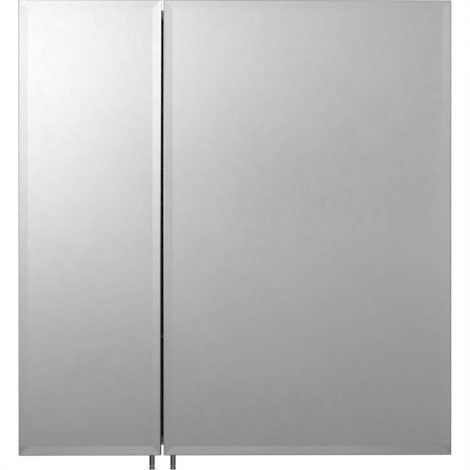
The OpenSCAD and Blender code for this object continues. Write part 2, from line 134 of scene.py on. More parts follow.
class Graph:
    """Adds nodes to one node tree and links them."""

    def __init__(self, tree: bpy.types.NodeTree) -> None:
        """Keeps the node tree of a material, a world or a group."""
        self.tree = tree

    def put(self, socket: Socket, value: Any) -> None:
        """Links a socket or sets its value.

        Args:
            socket: The input to feed.
            value: An output socket, a number, or a colour of three numbers.
        """
        if isinstance(value, Socket):
            self.tree.links.new(value, socket)
        elif socket.type == "RGBA":
            socket.default_value = (*value, 1.0)
        else:
            socket.default_value = value

    def add(self, kind: str, inputs: dict[Any, Any] | None = None, **settings: Any) -> bpy.types.Node:
        """Adds one node.

        Args:
            kind: The node's type, without the ShaderNode prefix.
            inputs: Values or sockets by input name or number.
            settings: The node's own options.

        Returns:
            The new node.
        """
        node = self.tree.nodes.new("ShaderNode" + kind)
        for key, value in settings.items():
            setattr(node, key, value)
        for key, value in (inputs or {}).items():
            self.put(node.inputs[key], value)
        return node

    def point(self) -> Socket:
        """Returns the point on the piece, in metres, which moves with the piece."""
        return self.add("TexCoord").outputs["Object"]

    def split(self, vector: Socket) -> Any:
        """Splits a vector and returns its three parts."""
        return self.add("SeparateXYZ", {0: vector}).outputs

    def noise(self, vector: Socket, scale: Any, detail: float) -> Socket:
        """Adds a noise texture and returns its value."""
        return self.add("TexNoise", {"Vector": vector, "Scale": scale, "Detail": detail}).outputs[0]

    def stretched(self, vector: Socket, scale: Triple, turn: Triple = (0.0, 0.0, 0.0)) -> Socket:
        """Stretches a vector along its axes, first turned by some radians about each."""
        return self.add("Mapping", {"Vector": vector, "Rotation": turn, "Scale": scale}).outputs[0]

    def math(self, operation: str, a: Any, b: Any = 0.0, clamp: bool = False) -> Socket:
        """Adds a math node and returns its output."""
        return self.add("Math", {0: a, 1: b}, operation=operation, use_clamp=clamp).outputs[0]

    def highest(self, *values: Any) -> Socket:
        """Returns the highest of two or more values."""
        return reduce(lambda one, other: self.math("MAXIMUM", one, other), values)

    def remap(self, value: Any, a: float, b: float, low: Any, high: Any, smooth: bool = False) -> Socket:
        """Maps a value from the span a to b onto low to high, clamped and with smooth ends or not."""
        inputs = {"Value": value, "From Min": a, "From Max": b, "To Min": low, "To Max": high}
        return self.add("MapRange", inputs, interpolation_type=CURVE[smooth]).outputs[0]

    def blend(self, factor: Any, a: Any, b: Any) -> Socket:
        """Mixes two colours and returns the result."""
        return self.add("MixRGB", {0: factor, 1: a, 2: b}).outputs[0]

    def effect(self, kind: type[Effect], **inputs: Any) -> Socket:
        """Places an effect's group with inputs by name, where _ is a space, and returns its output."""
        named = {key.replace("_", " "): value for key, value in inputs.items()}
        return self.add("Group", named, node_tree=kind.tree()).outputs[0]


class Surface(Graph):
    """The graph of a material that has a surface shader."""

    def __init__(self, material: bpy.types.Material) -> None:
        """Takes the shader that a new material has."""
        super().__init__(material.node_tree)
        self.shader = material.node_tree.nodes["Principled BSDF"]

    def set(self, **inputs: Any) -> None:
        """Sets inputs of the shader by name, where _ is a space."""
        for key, value in inputs.items():
            self.put(self.shader.inputs[key.replace("_", " ")], value)

    def bump(self, height: Any, strength: float, distance: float) -> None:
        """Raises the surface by a height from 0 to 1, of which 1 is a distance in metres."""
        bump = self.add("Bump", {"Strength": strength, "Distance": distance, "Height": height})
        self.set(Normal=bump.outputs[0])


class Effect:
    """A surface effect that several finishes share, kept as one node group with one output."""

    name = "effect"
    inputs: dict[str, float] = {}

    @classmethod
    def tree(cls) -> bpy.types.NodeTree:
        """Builds the group the first time.

        Returns:
            The node group.
        """
        found = bpy.data.node_groups.get(cls.name)
        if found:
            return found
        tree = bpy.data.node_groups.new(cls.name, "ShaderNodeTree")
        for name, value in cls.inputs.items():
            socket = tree.interface.new_socket(name, in_out="INPUT", socket_type="NodeSocketFloat")
            socket.default_value = value
        tree.interface.new_socket("Value", in_out="OUTPUT", socket_type="NodeSocketFloat")
        graph = Graph(tree)
        source = tree.nodes.new("NodeGroupInput").outputs
        sink = tree.nodes.new("NodeGroupOutput").inputs
        graph.put(sink["Value"], cls.wire(graph, source))
        return tree

    @classmethod
    def wire(cls, g: Graph, source: Any) -> Socket:
        """Builds the inside of the group from its inputs and returns what feeds its output."""
        raise NotImplementedError


class Mottle(Effect):
    """Soft patches between two values."""

    name = "soft_mottle"
    inputs = {"Scale": 20.0, "Low": 0.0, "High": 1.0}

    @classmethod
    def wire(cls, g: Graph, source: Any) -> Socket:
        """Noise, spread over the full span."""
        noise = g.noise(g.point(), source["Scale"], detail=4.0)
        return g.remap(noise, *NOISE_SPAN, source["Low"], source["High"])


class Smudges(Effect):
    """Finger marks and wipe streaks: a mask that is mostly clean."""

    name = "smudges"
    inputs = {"Scale": 6.0, "Streaks": 60.0}

    @classmethod
    def wire(cls, g: Graph, source: Any) -> Socket:
        """Broad patches cut through by long fine streaks.

        Args:
            g: The group's graph.
            source: The group's inputs by name.

        Returns:
            The socket that feeds the group's output.
        """
        point = g.point()
        patches = g.noise(point, source["Scale"], detail=3.0)
        slope = g.stretched(point, (1.0, 1.0, 0.12), turn=(0.0, 0.6, 0.0))
        streaks = g.noise(slope, source["Streaks"], detail=5.0)
        broad = g.remap(patches, 0.5, 0.72, 0.0, 1.0, smooth=True)
        return g.math("MULTIPLY", broad, g.remap(streaks, 0.42, 0.66, 0.25, 1.0))


class EdgeWear(Effect):
    """A mask that is high along a piece's sharp edges, broken up by noise."""

    name = "edge_wear"
    inputs = {"Radius": 0.8 * MM, "Break Up": 300.0}

    @classmethod
    def wire(cls, g: Graph, source: Any) -> Socket:
        """Compares the rounded normal with the true one.

        Args:
            g: The group's graph.
            source: The group's inputs by name.

        Returns:
            The socket that feeds the group's output.
        """
        soft = g.add("Bevel", {"Radius": source["Radius"]}, samples=4).outputs[0]
        true = g.add("NewGeometry").outputs["True Normal"]
        dot = g.add("VectorMath", {0: soft, 1: true}, operation="DOT_PRODUCT").outputs["Value"]
        edge = g.remap(dot, 0.995, 0.8, 0.0, 1.0)
        noise = g.noise(g.point(), source["Break Up"], detail=3.0)
        return g.math("MULTIPLY", edge, g.remap(noise, 0.42, 0.6, 0.0, 1.0))


class FinePeel(Effect):
    """Height of a fine orange-peel texture."""

    name = "fine_peel"
    inputs = {"Scale": 700.0}

    @classmethod
    def wire(cls, g: Graph, source: Any) -> Socket:
        """Two sizes of noise.

        Args:
            g: The group's graph.
            source: The group's inputs by name.

        Returns:
            The socket that feeds the group's output.
        """
        point = g.point()
        fine = g.noise(point, source["Scale"], detail=2.0)
        wide = g.noise(point, g.math("MULTIPLY", source["Scale"], 0.12), detail=1.0)
        return g.math("ADD", g.math("MULTIPLY", fine, 0.7), g.math("MULTIPLY", wide, 0.3))


class Brushed(Effect):
    """Fine parallel scratches, along the Z axis."""

    name = "brushed"
    inputs = {"Scale": 900.0, "Low": 0.2, "High": 0.4}

    @classmethod
    def wire(cls, g: Graph, source: Any) -> Socket:
        """Noise stretched along one axis."""
        noise = g.noise(g.stretched(g.point(), (1.0, 1.0, 0.03)), source["Scale"], detail=3.0)
        return g.remap(noise, *NOISE_SPAN, source["Low"], source["High"])


class Dust(Effect):
    """A mask of thin dust on faces that look up."""

    name = "settled_dust"
    inputs = {"Scale": 90.0, "Amount": 0.5}

    @classmethod
    def wire(cls, g: Graph, source: Any) -> Socket:
        """Upward faces times a speckle.

        Args:
            g: The group's graph.
            source: The group's inputs by name.

        Returns:
            The socket that feeds the group's output.
        """
        up = g.split(g.add("NewGeometry").outputs["Normal"])[2]
        noise = g.noise(g.point(), source["Scale"], detail=6.0)
        speckle = g.remap(noise, 0.45, 0.75, 0.0, source["Amount"])
        return g.math("MULTIPLY", g.remap(up, 0.6, 1.0, 0.0, 1.0), speckle)


# ---- finishes ----


@dataclass(frozen=True)
class Finish:
    """A finish of one kind of surface."""

    name: str
    colour: Colour  # linear
    roughness: float  # where it is clean

    def material(self) -> bpy.types.Material:
        """Makes the material the first time.

        Returns:
            The finish's material.
        """
        found = bpy.data.materials.get(self.name)
        if found:
            return found
        material = bpy.data.materials.new(self.name)
        material.use_nodes = True
        material.diffuse_color = (*self.colour, 1.0)
        graph = Surface(material)
        graph.set(Base_Color=self.colour, Roughness=self.roughness)
        self.dress(graph)
        return material

    def dress(self, g: Surface) -> None:
        """Adds the finish's own detail to its shader.

        Args:
            g: The material's graph.
        """

    def shade(self, share: float) -> Colour:
        """Base colour, darker or paler by a share."""
        return tuple(min(1.0, c * share) for c in self.colour)

    def toned(self, g: Graph, scale: float, share: float) -> Socket:
        """Base colour with soft patches of a darker shade, at a scale."""
        return g.blend(g.effect(Mottle, Scale=scale), self.shade(share), self.colour)

    def marked(self, g: Graph, scale: float, streaks: float, dulling: float) -> Socket:
        """Roughness that finger marks and wipe streaks raise by the dulling, at two scales."""
        marks = g.effect(Smudges, Scale=scale, Streaks=streaks)
        return g.remap(marks, 0.0, 1.0, self.roughness, self.roughness + dulling)


@dataclass(frozen=True)
class ClearGlass(Finish):
    """Clear glass with a few faint marks."""

    marks: float = 5.0  # scale of the finger marks
    streaks: float = 40.0  # scale of the wipe streaks
    dulling: float = 0.02  # roughness that a mark adds

    def dress(self, g: Surface) -> None:
        """Glass whose gloss drops a little under the marks."""
        g.set(Transmission_Weight=1.0, IOR=GLASS_IOR)
        g.set(Roughness=self.marked(g, self.marks, self.streaks, self.dulling))


@dataclass(frozen=True)
class ShelfGlass(ClearGlass):
    """Clear glass of the shelves, which lets the lamps' light pass."""

    marks: float = 14.0  # scale of the finger marks
    streaks: float = 90.0  # scale of the wipe streaks
    dulling: float = 0.05  # roughness that a mark adds
    passed: float = 0.93  # share of the light that passes

    def dress(self, g: Surface) -> None:
        """Glass with faint marks and a coloured shadow.

        Args:
            g: The material's graph.
        """
        super().dress(g)
        through = g.add("BsdfTransparent", {"Color": self.shade(self.passed)})
        shadow = g.add("LightPath").outputs["Is Shadow Ray"]
        mix = g.add("MixShader", {0: shadow, 1: g.shader.outputs[0], 2: through.outputs[0]})
        out = next(node for node in g.tree.nodes if node.type == "OUTPUT_MATERIAL")
        g.put(out.inputs["Surface"], mix.outputs[0])


@dataclass(frozen=True)
class Silvering(Finish):
    """Silver on the back of the glass, very slightly cloudy, darkened behind the bottom bevel at its outer
    corners as painted shade.
    """

    shade_height: float = 0.0  # height up to which the painted shade darkens the silver, in metres
    # distances over that height between which the painted shade grows, in metres
    fade: Point = (2.0 * MM, -1.0 * MM)
    inward: Point = (0.15, 0.26)  # distances from the middle between which the painted shade grows, in metres
    shaded_share: float = 0.84  # share of its brightness that the silver keeps under the painted shade
    clouded: float = 0.95  # share of its brightness that cloudy silver keeps

    def dress(self, g: Surface) -> None:
        """Bright metal with broad faint clouds, and painted shade at the lower outer corners.

        Args:
            g: The material's graph.
        """
        g.set(Metallic=1.0)
        clouds = g.effect(Mottle, Scale=11.0, High=0.5)
        grain = g.math("MULTIPLY", g.effect(Mottle, Scale=6.0, Low=0.2), g.effect(Mottle, Scale=90.0))
        base = g.blend(g.math("ADD", clouds, grain, clamp=True), self.colour, self.shade(self.clouded))
        point = g.split(g.point())
        # painted shade: darker below the top of the bottom bevel and towards the outer corners
        low = g.remap(point[2], self.shade_height + self.fade[0], self.shade_height + self.fade[1], 0.0, 1.0)
        corner = g.remap(g.math("ABSOLUTE", point[0]), *self.inward, 0.0, 1.0)
        shaded_base = g.blend(g.math("MULTIPLY", low, corner), base, self.shade(self.shaded_share))
        g.set(Base_Color=shaded_base)


@dataclass(frozen=True)
class GroundEdge(Finish):
    """Ground and seamed edge of the glass, grey green."""

    pale: float = 1.25  # brightness of its pale patches, as a share of the base colour's
    brush: float = 0.1  # change of roughness along the grinding marks

    def dress(self, g: Surface) -> None:
        """Fine grinding marks and small colour changes.

        Args:
            g: The material's graph.
        """
        g.set(Base_Color=g.blend(g.effect(Mottle, Scale=160.0), self.colour, self.shade(self.pale)))
        low, high = self.roughness - self.brush, self.roughness + self.brush
        g.set(Roughness=g.effect(Brushed, Scale=1200.0, Low=low, High=high))


@dataclass(frozen=True)
class Paint(Finish):
    """Plain sprayed or rolled paint."""

    peel: float = 0.03 * MM  # height of its texture, in metres

    def dress(self, g: Surface) -> None:
        """Small changes of tone and a fine peel."""
        g.set(Base_Color=self.toned(g, scale=30.0, share=0.93))
        g.bump(g.effect(FinePeel, Scale=500.0), strength=0.6, distance=self.peel)


@dataclass(frozen=True)
class FacedBoard(Finish):
    """White faced board: a smooth film with a fine texture, dull where it is rubbed."""

    worn: Colour = (0.6, 0.58, 0.54)  # colour of the rubbed edges
    rubbed: float = 0.35  # how much of the edges is rubbed
    dust: Colour = (0.62, 0.6, 0.57)  # colour of settled dust
    dusty: float = 0.3  # roughness that dust adds
    dulling: float = 0.16  # roughness that a mark adds
    peel: float = 0.03 * MM  # height of the film's texture, in metres

    def dress(self, g: Surface) -> None:
        """Tone, rubbed edges, dust, gloss changes and the film's texture.

        Args:
            g: The material's graph.
        """
        wear = g.math("MULTIPLY", g.effect(EdgeWear, Radius=0.6 * MM, Break_Up=220.0), self.rubbed)
        base = g.blend(wear, self.toned(g, scale=9.0, share=0.965), self.worn)
        dust = g.effect(Dust, Scale=120.0, Amount=0.25)
        gloss = self.marked(g, scale=9.0, streaks=70.0, dulling=self.dulling)
        rough = g.math("ADD", gloss, g.math("MULTIPLY", dust, self.dusty))
        g.set(Base_Color=g.blend(dust, base, self.dust), Roughness=rough)
        g.bump(g.effect(FinePeel, Scale=900.0), strength=0.5, distance=self.peel)


@dataclass(frozen=True)
class FibreSheet(Finish):
    """Back panel: thin pressed fibre sheet, lightly grained."""

    fibre: Colour = (0.5, 0.48, 0.45)  # colour of the darker fibres
    press: float = 0.06 * MM  # height of the press mark, in metres

    def dress(self, g: Surface) -> None:
        """Specks of fibre and a woven press mark.

        Args:
            g: The material's graph.
        """
        specks = g.effect(Mottle, Scale=420.0, High=0.3)
        fibres = g.math("MULTIPLY", specks, g.effect(Mottle, Scale=12.0, Low=0.2))
        g.set(Base_Color=g.blend(fibres, self.colour, self.fibre))
        g.bump(g.effect(FinePeel, Scale=1500.0), strength=0.8, distance=self.press)


@dataclass(frozen=True)
class Metal(Finish):
    """Plated or plain metal."""

    worn: Colour = (0.5, 0.48, 0.45)  # colour where the plating is rubbed
    wear: float = 0.4  # how much of the edges is rubbed
    brush: float = 0.08  # change of roughness along the brush marks
    grime: float = 0.05  # depth of the dull patches

    def dress(self, g: Surface) -> None:
        """Brush marks, dull patches and rubbed edges.

        Args:
            g: The material's graph.
        """
        g.set(Metallic=1.0)
        wear = g.math("MULTIPLY", g.effect(EdgeWear, Radius=0.3 * MM, Break_Up=500.0), self.wear)
        g.set(Base_Color=g.blend(wear, self.toned(g, scale=130.0, share=0.9), self.worn))
        brushed = g.effect(Brushed, Scale=1400.0, Low=self.roughness, High=self.roughness + self.brush)
        grime = g.math("MULTIPLY", g.effect(Smudges, Scale=60.0, Streaks=300.0), self.grime)
        g.set(Roughness=g.math("ADD", brushed, grime))


@dataclass(frozen=True)
class SoftRubber(Finish):
    """Soft, slightly cloudy bumper."""

    cloudy: float = 0.4  # share of the light that goes into it
    depth: float = 2.0 * MM  # how far it goes, in metres
    peel: float = 0.03 * MM  # height of its texture, in metres

    def dress(self, g: Surface) -> None:
        """Cloudy plastic that lets some light in.

        Args:
            g: The material's graph.
        """
        tone = self.toned(g, scale=500.0, share=0.88)
        g.set(Subsurface_Weight=self.cloudy, Subsurface_Scale=self.depth, Base_Color=tone)
        g.bump(g.effect(FinePeel, Scale=2500.0), strength=0.4, distance=self.peel)


@dataclass(frozen=True)
class Beech(Finish):
    """Plain beech, for the dowels."""

    ray: Colour = (0.42, 0.26, 0.13)  # colour of the darker grain
    relief: float = 0.08 * MM  # height of the grain, in metres

    def dress(self, g: Surface) -> None:
        """Fine straight grain.

        Args:
            g: The material's graph.
        """
        grain = g.noise(g.stretched(g.point(), (0.06, 1.0, 1.0)), scale=1500.0, detail=4.0)
        dark = g.remap(grain, 0.4, 0.7, 0.0, 0.8)
        g.set(Base_Color=g.blend(dark, self.colour, self.ray))
        g.bump(grain, strength=0.4, distance=self.relief)


MIRROR_GLASS = ClearGlass("polished_glass", WHITE, 0.0)
# the silver's painted shade reaches up to the top of the bottom bevel, at the outer corners
SILVER = Silvering(
    "silver_film", (0.935, 0.935, 0.935), 0.0,
    shade_height=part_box("left_mirror")[0].z + bevel("left_mirror")[0],
)
GLASS_EDGE = GroundEdge("ground_glass_edge", (0.15, 0.19, 0.175), 0.3)
GLASS_SEAM = GroundEdge("seamed_glass_edge", (0.19, 0.2, 0.195), 0.42)
# near-black edge for the ground face beside the left door's gap: painted shade of the gap
GAP_SHADE_EDGE = GroundEdge("gap_shade_glass_edge", (0.014, 0.015, 0.015), 0.5)
BACK_PAINT = Paint("mirror_back_paint", (0.3, 0.31, 0.32), 0.5)
WHITE_BOARD = FacedBoard("faced_white_board", (0.76, 0.76, 0.75), 0.38)
BACK_SHEET = FibreSheet("fibre_back_sheet", (0.66, 0.655, 0.64), 0.55)
SHELF_GLASS = ShelfGlass("clear_shelf_glass", (0.93, 0.98, 0.96), 0.0)
SHELF_EDGE = ShelfGlass("polished_shelf_edge", (0.35, 0.62, 0.52), 0.12)
CHROME = Metal(
    "pull_chrome", (0.59, 0.59, 0.6), 0.05,
    worn=(0.5, 0.49, 0.48), wear=0.2, brush=0.02, grime=0.06,
)
NICKEL = Metal(
    "plated_hinge_steel", (0.7, 0.69, 0.66), 0.2,
    worn=(0.42, 0.4, 0.36), wear=0.5, brush=0.05, grime=0.1,
)
ZINC = Metal(
    "zinc_screw_steel", (0.6, 0.6, 0.6), 0.28,
    worn=(0.35, 0.34, 0.32), wear=0.6, brush=0.06, grime=0.12,
)
SPRING = Metal(
    "spring_wire", (0.38, 0.39, 0.42), 0.25,
    worn=(0.6, 0.6, 0.6), wear=0.6, brush=0.12, grime=0.1,
)
RUBBER = SoftRubber("soft_bumper", (0.72, 0.72, 0.71), 0.45)
DOWEL_WOOD = Beech("fluted_beech", (0.62, 0.43, 0.25), 0.6)


# ---- mesh tools ----


def from_bmesh(name: str, bm: Shape, finishes: Sequence[Finish], smooth: bool = True) -> Piece:
    """Turns a bmesh into an object and frees it.

    Args:
        name: Name of the piece.
        bm: The bmesh.
        finishes: Its finishes, in material order.
        smooth: True shades it smooth, with weighted normals.

    Returns:
        The new object, linked to the scene.
    """
    mesh = bpy.data.meshes.new(name)
    for face in bm.faces:
        face.smooth = smooth
    bm.to_mesh(mesh)
    bm.free()
    for finish in finishes:
        mesh.materials.append(finish.material())
    piece = bpy.data.objects.new(name, mesh)
    bpy.context.scene.collection.objects.link(piece)
    if smooth:
        piece.modifiers.new("even_normals", "WEIGHTED_NORMAL").keep_sharp = True
    return piece


def belong(piece: Piece, node: str) -> Piece:
    """Lets a piece ride on a frame node's body, and returns the piece."""
    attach(piece, frame["nodes"][node]["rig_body"])
    return piece


def adopt(piece: Piece, node: str) -> Piece:
    """Lets a piece stand for a frame node, and returns the piece."""
    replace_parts(belong(piece, node), node)
    return piece


def stand_in(node: str, bm: Shape, *finishes: Finish) -> Piece:
    """Turns a bmesh into a smooth piece that stands for a frame node."""
    return adopt(from_bmesh(node + ".piece", bm, finishes), node)


def clean_copy(node: str) -> Shape:
    """Copies a frame node's mesh, joins its double points and merges its flat faces.

    Args:
        node: The frame node.

    Returns:
        The copy.
    """
    bm = bmesh.new()
    bm.from_mesh(frame["nodes"][node].data)
    bmesh.ops.remove_doubles(bm, verts=bm.verts, dist=2 * NEAR)
    bmesh.ops.dissolve_limit(bm, angle_limit=FLAT_ANGLE, verts=bm.verts, edges=bm.edges)
    return bm


def rounded_copy(node: str, radius: float, *finishes: Finish) -> Piece:
    """Builds a piece with the shape of a frame node and softened edges, which stands for it.

    Args:
        node: The frame node.
        radius: Radius of the edges, in metres.
        finishes: Finishes, in material order.

    Returns:
        The new piece, riding on the node's body.
    """
    bm = clean_copy(node)
    sharp = [e for e in bm.edges if len(e.link_faces) == 2 and e.calc_face_angle(0.0) > SHARP_ANGLE]
    bmesh.ops.bevel(
        bm, geom=sharp, offset=radius, offset_type="OFFSET", segments=2, profile=0.5,
        affect="EDGES", clamp_overlap=True,
    )
    return stand_in(node, bm, *finishes)


def ring(bm: Shape, radius: float, height: float, steps: int) -> list[Vert]:
    """Adds a ring of points about the Z axis at a height, and returns them."""
    turn = [math.tau * i / steps for i in range(steps)]
    return [bm.verts.new((radius * math.cos(a), radius * math.sin(a), height)) for a in turn]


def join(bm: Shape, low: Sequence[Vert], high: Sequence[Vert]) -> list[Face]:
    """Joins two rings with as many points by a band of faces, which it returns."""
    steps = [(i, (i + 1) % len(low)) for i in range(len(low))]
    return [bm.faces.new((low[i], low[j], high[j], high[i])) for i, j in steps]


def skin(bm: Shape, rings: Sequence[Sequence[Vert]]) -> None:
    """Joins rings in turn, closes both ends and turns the faces outward.

    Args:
        bm: The mesh in work.
        rings: The rings, from one end to the other.
    """
    for low, high in zip(rings, rings[1:]):
        join(bm, low, high)
    bm.faces.new(rings[0])
    bm.faces.new(rings[-1])
    bmesh.ops.recalc_face_normals(bm, faces=bm.faces)


def lathe(profile: Sequence[Point], segments: int) -> Shape:
    """Turns a profile about the Z axis.

    Args:
        profile: Points (radius, height) from one end to the other, both on the axis.
        segments: Steps round the axis.

    Returns:
        The turned shape.
    """
    bm = bmesh.new()
    rings: list[list[Vert]] = []
    for radius, height in profile:
        rings.append(ring(bm, radius, height, segments if radius > NEAR else 1))
    for low, high in zip(rings, rings[1:]):
        for i in range(segments):
            j = (i + 1) % segments
            corners = [low[i % len(low)], low[j % len(low)], high[j % len(high)], high[i % len(high)]]
            bm.faces.new(list(dict.fromkeys(corners)))
    bmesh.ops.recalc_face_normals(bm, faces=bm.faces)
    return bm


def fillet(wall: float, end: float, radius: float, way: int, angles: Sequence[int]) -> list[Point]:
    """Rounds the edge between a wall and an end, above (1) or below (-1) it, at angles from the wall."""
    turn = [(1 - math.cos(a), 1 - math.sin(a)) for a in map(math.radians, angles)]
    return [(wall - radius * inward, end + way * radius * along) for inward, along in turn]


def centre_on(bm: Shape, node: str) -> None:
    """Moves a shape made about the Z axis to the upright axis of a frame node."""
    low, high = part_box(node)
    bm.transform(Matrix.Translation(((low.x + high.x) / 2, (low.y + high.y) / 2, 0.0)))


def merge(one: Shape, into: Shape) -> None:
    """Adds one bmesh to another and frees it.

    Args:
        one: The bmesh to add.
        into: The bmesh that takes it.
    """
    mesh = bpy.data.meshes.new("merged")
    one.to_mesh(mesh)
    one.free()
    into.from_mesh(mesh)
    bpy.data.meshes.remove(mesh)


def islands(node: str) -> list[list[Vector]]:
    """Splits a frame node into its separate solids, in the same order on each run.

    Args:
        node: The frame node.

    Returns:
        The points of each solid.
    """
    bm = clean_copy(node)
    left = dict.fromkeys(bm.verts)
    found: list[list[Vector]] = []
    while left:
        stack = [left.popitem()[0]]
        points = []
        while stack:
            vert = stack.pop()
            points.append(vert.co.copy())
            for edge in vert.link_edges:
                other = edge.other_vert(vert)
                if other in left:
                    del left[other]
                    stack.append(other)
        found.append(points)
    bm.free()
    return found


def extent(points: Sequence[Vector]) -> tuple[Vector, Vector]:
    """Finds the lowest and highest corners of the box round some points."""
    low = Vector([min(p[i] for p in points) for i in range(3)])
    return low, Vector([max(p[i] for p in points) for i in range(3)])


# ---- small hardware ----

# one arm of the cross and its inner corner, as shares of its reach
CROSS = ((1.0, -0.27), (1.0, 0.27), (0.33, 0.33))
# size of the cross's floor along and across the arm, as shares of its outline
CROSS_FLOOR = (0.45, 0.5)


class Head(Enum):
    """Shape of a screw's head."""

    FLAT = "countersunk"
    PAN = "pan"


# radius and fall from the face, as shares of a flat head's radius or of a pan head's radius and height
HEADS = {
    Head.FLAT: ((0.97, 0.0), (1.0, 0.03), (1.0, 0.06)),
    Head.PAN: ((0.62, 0.0), (0.8, 0.1), (0.92, 0.27), (0.98, 0.5), (1.0, 0.8), (0.97, 1.0)),
}
# reach and depth of the cross, as shares of the head's radius and height
CROSS_SIZE = {Head.FLAT: (0.6, 0.8), Head.PAN: (0.52, 0.9)}


@dataclass
class Screw:
    """One cross-recess screw, placed where the frame has it."""

    head: Head = Head.FLAT
    root: float = 0.68  # radius at the root of the thread, as a share of the shank's
    crest: float = 0.99  # radius at the crest of the thread, as a share of the shank's
    sharpness: float = 3.4  # steepness of the thread's flanks
    lead: float = 0.42  # distance between two turns of the thread, as a share of the shank's diameter
    neck: float = 0.9  # radius under the head, as a share of the shank's
    tip: float = 0.12  # radius of the tip, as a share of the shank's
    point: float = 1.6  # length of the point, as a share of the shank's radius
    turns: int = 16  # steps round it
    steps: int = 4  # steps along one turn of the thread
    run_in: int = 3  # steps over which the thread grows from the neck

    def read(self, points: Sequence[Vector], axis: Axis) -> tuple[Matrix, float, float, float, float]:
        """Finds one screw's place and sizes from its points.

        Args:
            points: Points of the plain solid.
            axis: The axis that the screw lies along.

        Returns:
            Its matrix, head radius, head height, shank radius and length.
        """
        low, high = extent(points)
        centre = Vector([(a + b) / 2 for a, b in zip(low, high)])

        def radius(at: float) -> float:
            """Largest distance from the axis among the points at one height."""
            near = [p - centre for p in points if abs(p[axis] - at) < 10 * NEAR]
            return max(math.hypot(*(q[i] for i in range(3) if i != axis)) for q in near)

        top, tip = sorted((low[axis], high[axis]), key=radius, reverse=True)
        heights = sorted({round(abs(p[axis] - top), 6) for p in points})
        centre[axis] = top
        up = Vector((0, 0, 0))
        up[axis] = 1.0 if top > tip else -1.0
        at = Matrix.Translation(centre) @ up.to_track_quat("Z", "Y").to_matrix().to_4x4()
        return at, radius(top), heights[1], radius(tip), abs(top - tip)

    def crown(self, bm: Shape, radius: float, height: float) -> tuple[list[list[Vert]], float, float]:
        """Adds the rings of the head, from its face to its edge.

        Args:
            bm: The screw's mesh.
            radius: Radius of the head.
            height: Height of the head.

        Returns:
            The rings, and the reach and depth of the cross.
        """
        full = height if self.head is Head.PAN else radius
        rings = [ring(bm, radius * share, -full * fall, self.turns) for share, fall in HEADS[self.head]]
        reach, depth = CROSS_SIZE[self.head]
        return rings, radius * reach, height * depth

    def thread(self, bm: Shape, radius: float, start: float, end: float) -> list[list[Vert]]:
        """Adds the rings of the thread, whose first turn rises from the neck.

        Args:
            bm: The screw's mesh.
            radius: Radius of the shank.
            start: Height at which the thread starts.
            end: Height at which the point starts.

        Returns:
            The rings.
        """
        lead = self.lead * 2 * radius
        first = start - lead
        count = max(self.steps, int((first - end) / (lead / self.steps)))
        rings = []
        for step in range(count + 1):
            height = first + (end - first) * step / count
            rings.append(ring(bm, 1.0, height, self.turns))
            for number, vert in enumerate(rings[-1]):
                phase = (height / lead + number / self.turns) % 1.0
                rise = max(0.0, 1.0 - abs(phase - 0.5) * self.sharpness) * min(1.0, step / self.run_in)
                vert.co.xy *= radius * (self.root + (self.crest - self.root) * rise)
        return rings

    def recess(self, bm: Shape, rim: Sequence[Vert], reach: float, depth: float) -> None:
        """Sinks the cross into the head and fills the face round it.

        Args:
            bm: The screw's mesh.
            rim: Ring round the flat of the head.
            reach: Length of each arm of the cross.
            depth: Depth of the cross.
        """
        height = rim[0].co.z
        outline, floor = [], []
        for quarter in range(4):
            turn = Matrix.Rotation(quarter * math.pi / 2, 3, "Z")
            for x, y in CROSS:
                outline.append(bm.verts.new(turn @ Vector((x * reach, y * reach, height))))
                inner = (x * reach * CROSS_FLOOR[0], y * reach * CROSS_FLOOR[1], height - depth)
                floor.append(bm.verts.new(turn @ Vector(inner)))
        join(bm, outline, floor)
        bm.faces.new(floor)
        loops = [[bm.edges.get((line[i - 1], line[i])) for i in range(len(line))] for line in (outline, rim)]
        bmesh.ops.triangle_fill(bm, use_beauty=True, edges=loops[0] + loops[1], normal=(0, 0, 1))

    def build(self, bm: Shape, points: Sequence[Vector], axis: Axis) -> None:
        """Adds one screw to a mesh.

        Args:
            bm: The mesh of all the screws of one kind.
            points: Points of the plain solid that it stands for.
            axis: The axis that it lies along.
        """
        at, head_r, head_h, shank_r, length = self.read(points, axis)
        one = bmesh.new()
        rings, reach, depth = self.crown(one, head_r, head_h)
        rings.append(ring(one, shank_r * self.neck, -head_h, self.turns))
        rings += self.thread(one, shank_r, -head_h, -length + self.point * shank_r)
        rings.append(ring(one, shank_r * self.tip, -length, self.turns))
        for low, high in zip(rings, rings[1:]):
            join(one, low, high)
        one.faces.new(rings[-1])
        self.recess(one, rings[0], reach, depth)
        bmesh.ops.recalc_face_normals(one, faces=one.faces)
        one.transform(at)
        merge(one, bm)

    def stand_for(self, node: str, axis: Axis) -> Piece:
        """Builds all the screws of a frame node, which they stand for.

        Args:
            node: The frame node.
            axis: The axis that they lie along.

        Returns:
            The new piece.
        """
        bm = bmesh.new()
        for points in islands(node):
            self.build(bm, points, axis)
        return stand_in(node, bm, ZINC)


@dataclass
class Dowels:
    """The fluted beech dowels of the box."""

    flutes: int = 14
    depth: float = 0.07  # depth of the grooves, as a share of the radius
    chamfer: float = 0.3  # chamfer of the ends, as a share of the radius
    steps: int = 4  # steps from one groove to the next

    def build(self) -> Piece:
        """Builds the dowels.

        Returns:
            The new piece.
        """
        bm = bmesh.new()
        turns = self.flutes * self.steps
        for points in islands("dowels"):
            low, high = extent(points)
            radius, middle = (high.z - low.z) / 2, (low + high) / 2
            chamfer = radius * self.chamfer
            ends = [(low.x, radius - chamfer), (low.x + chamfer, radius)]
            ends += [(high.x - chamfer, radius), (high.x, radius - chamfer)]
            rings: list[list[Vert]] = []
            for x, full in ends:
                rings.append([])
                for i in range(turns):
                    a = math.tau * i / turns
                    reach = full if i % self.steps else full * (1.0 - self.depth)
                    point = (x, middle.y + reach * math.cos(a), middle.z + reach * math.sin(a))
                    rings[-1].append(bm.verts.new(point))
            skin(bm, rings)
        return stand_in("dowels", bm, DOWEL_WOOD)


# ---- sub-assemblies ----


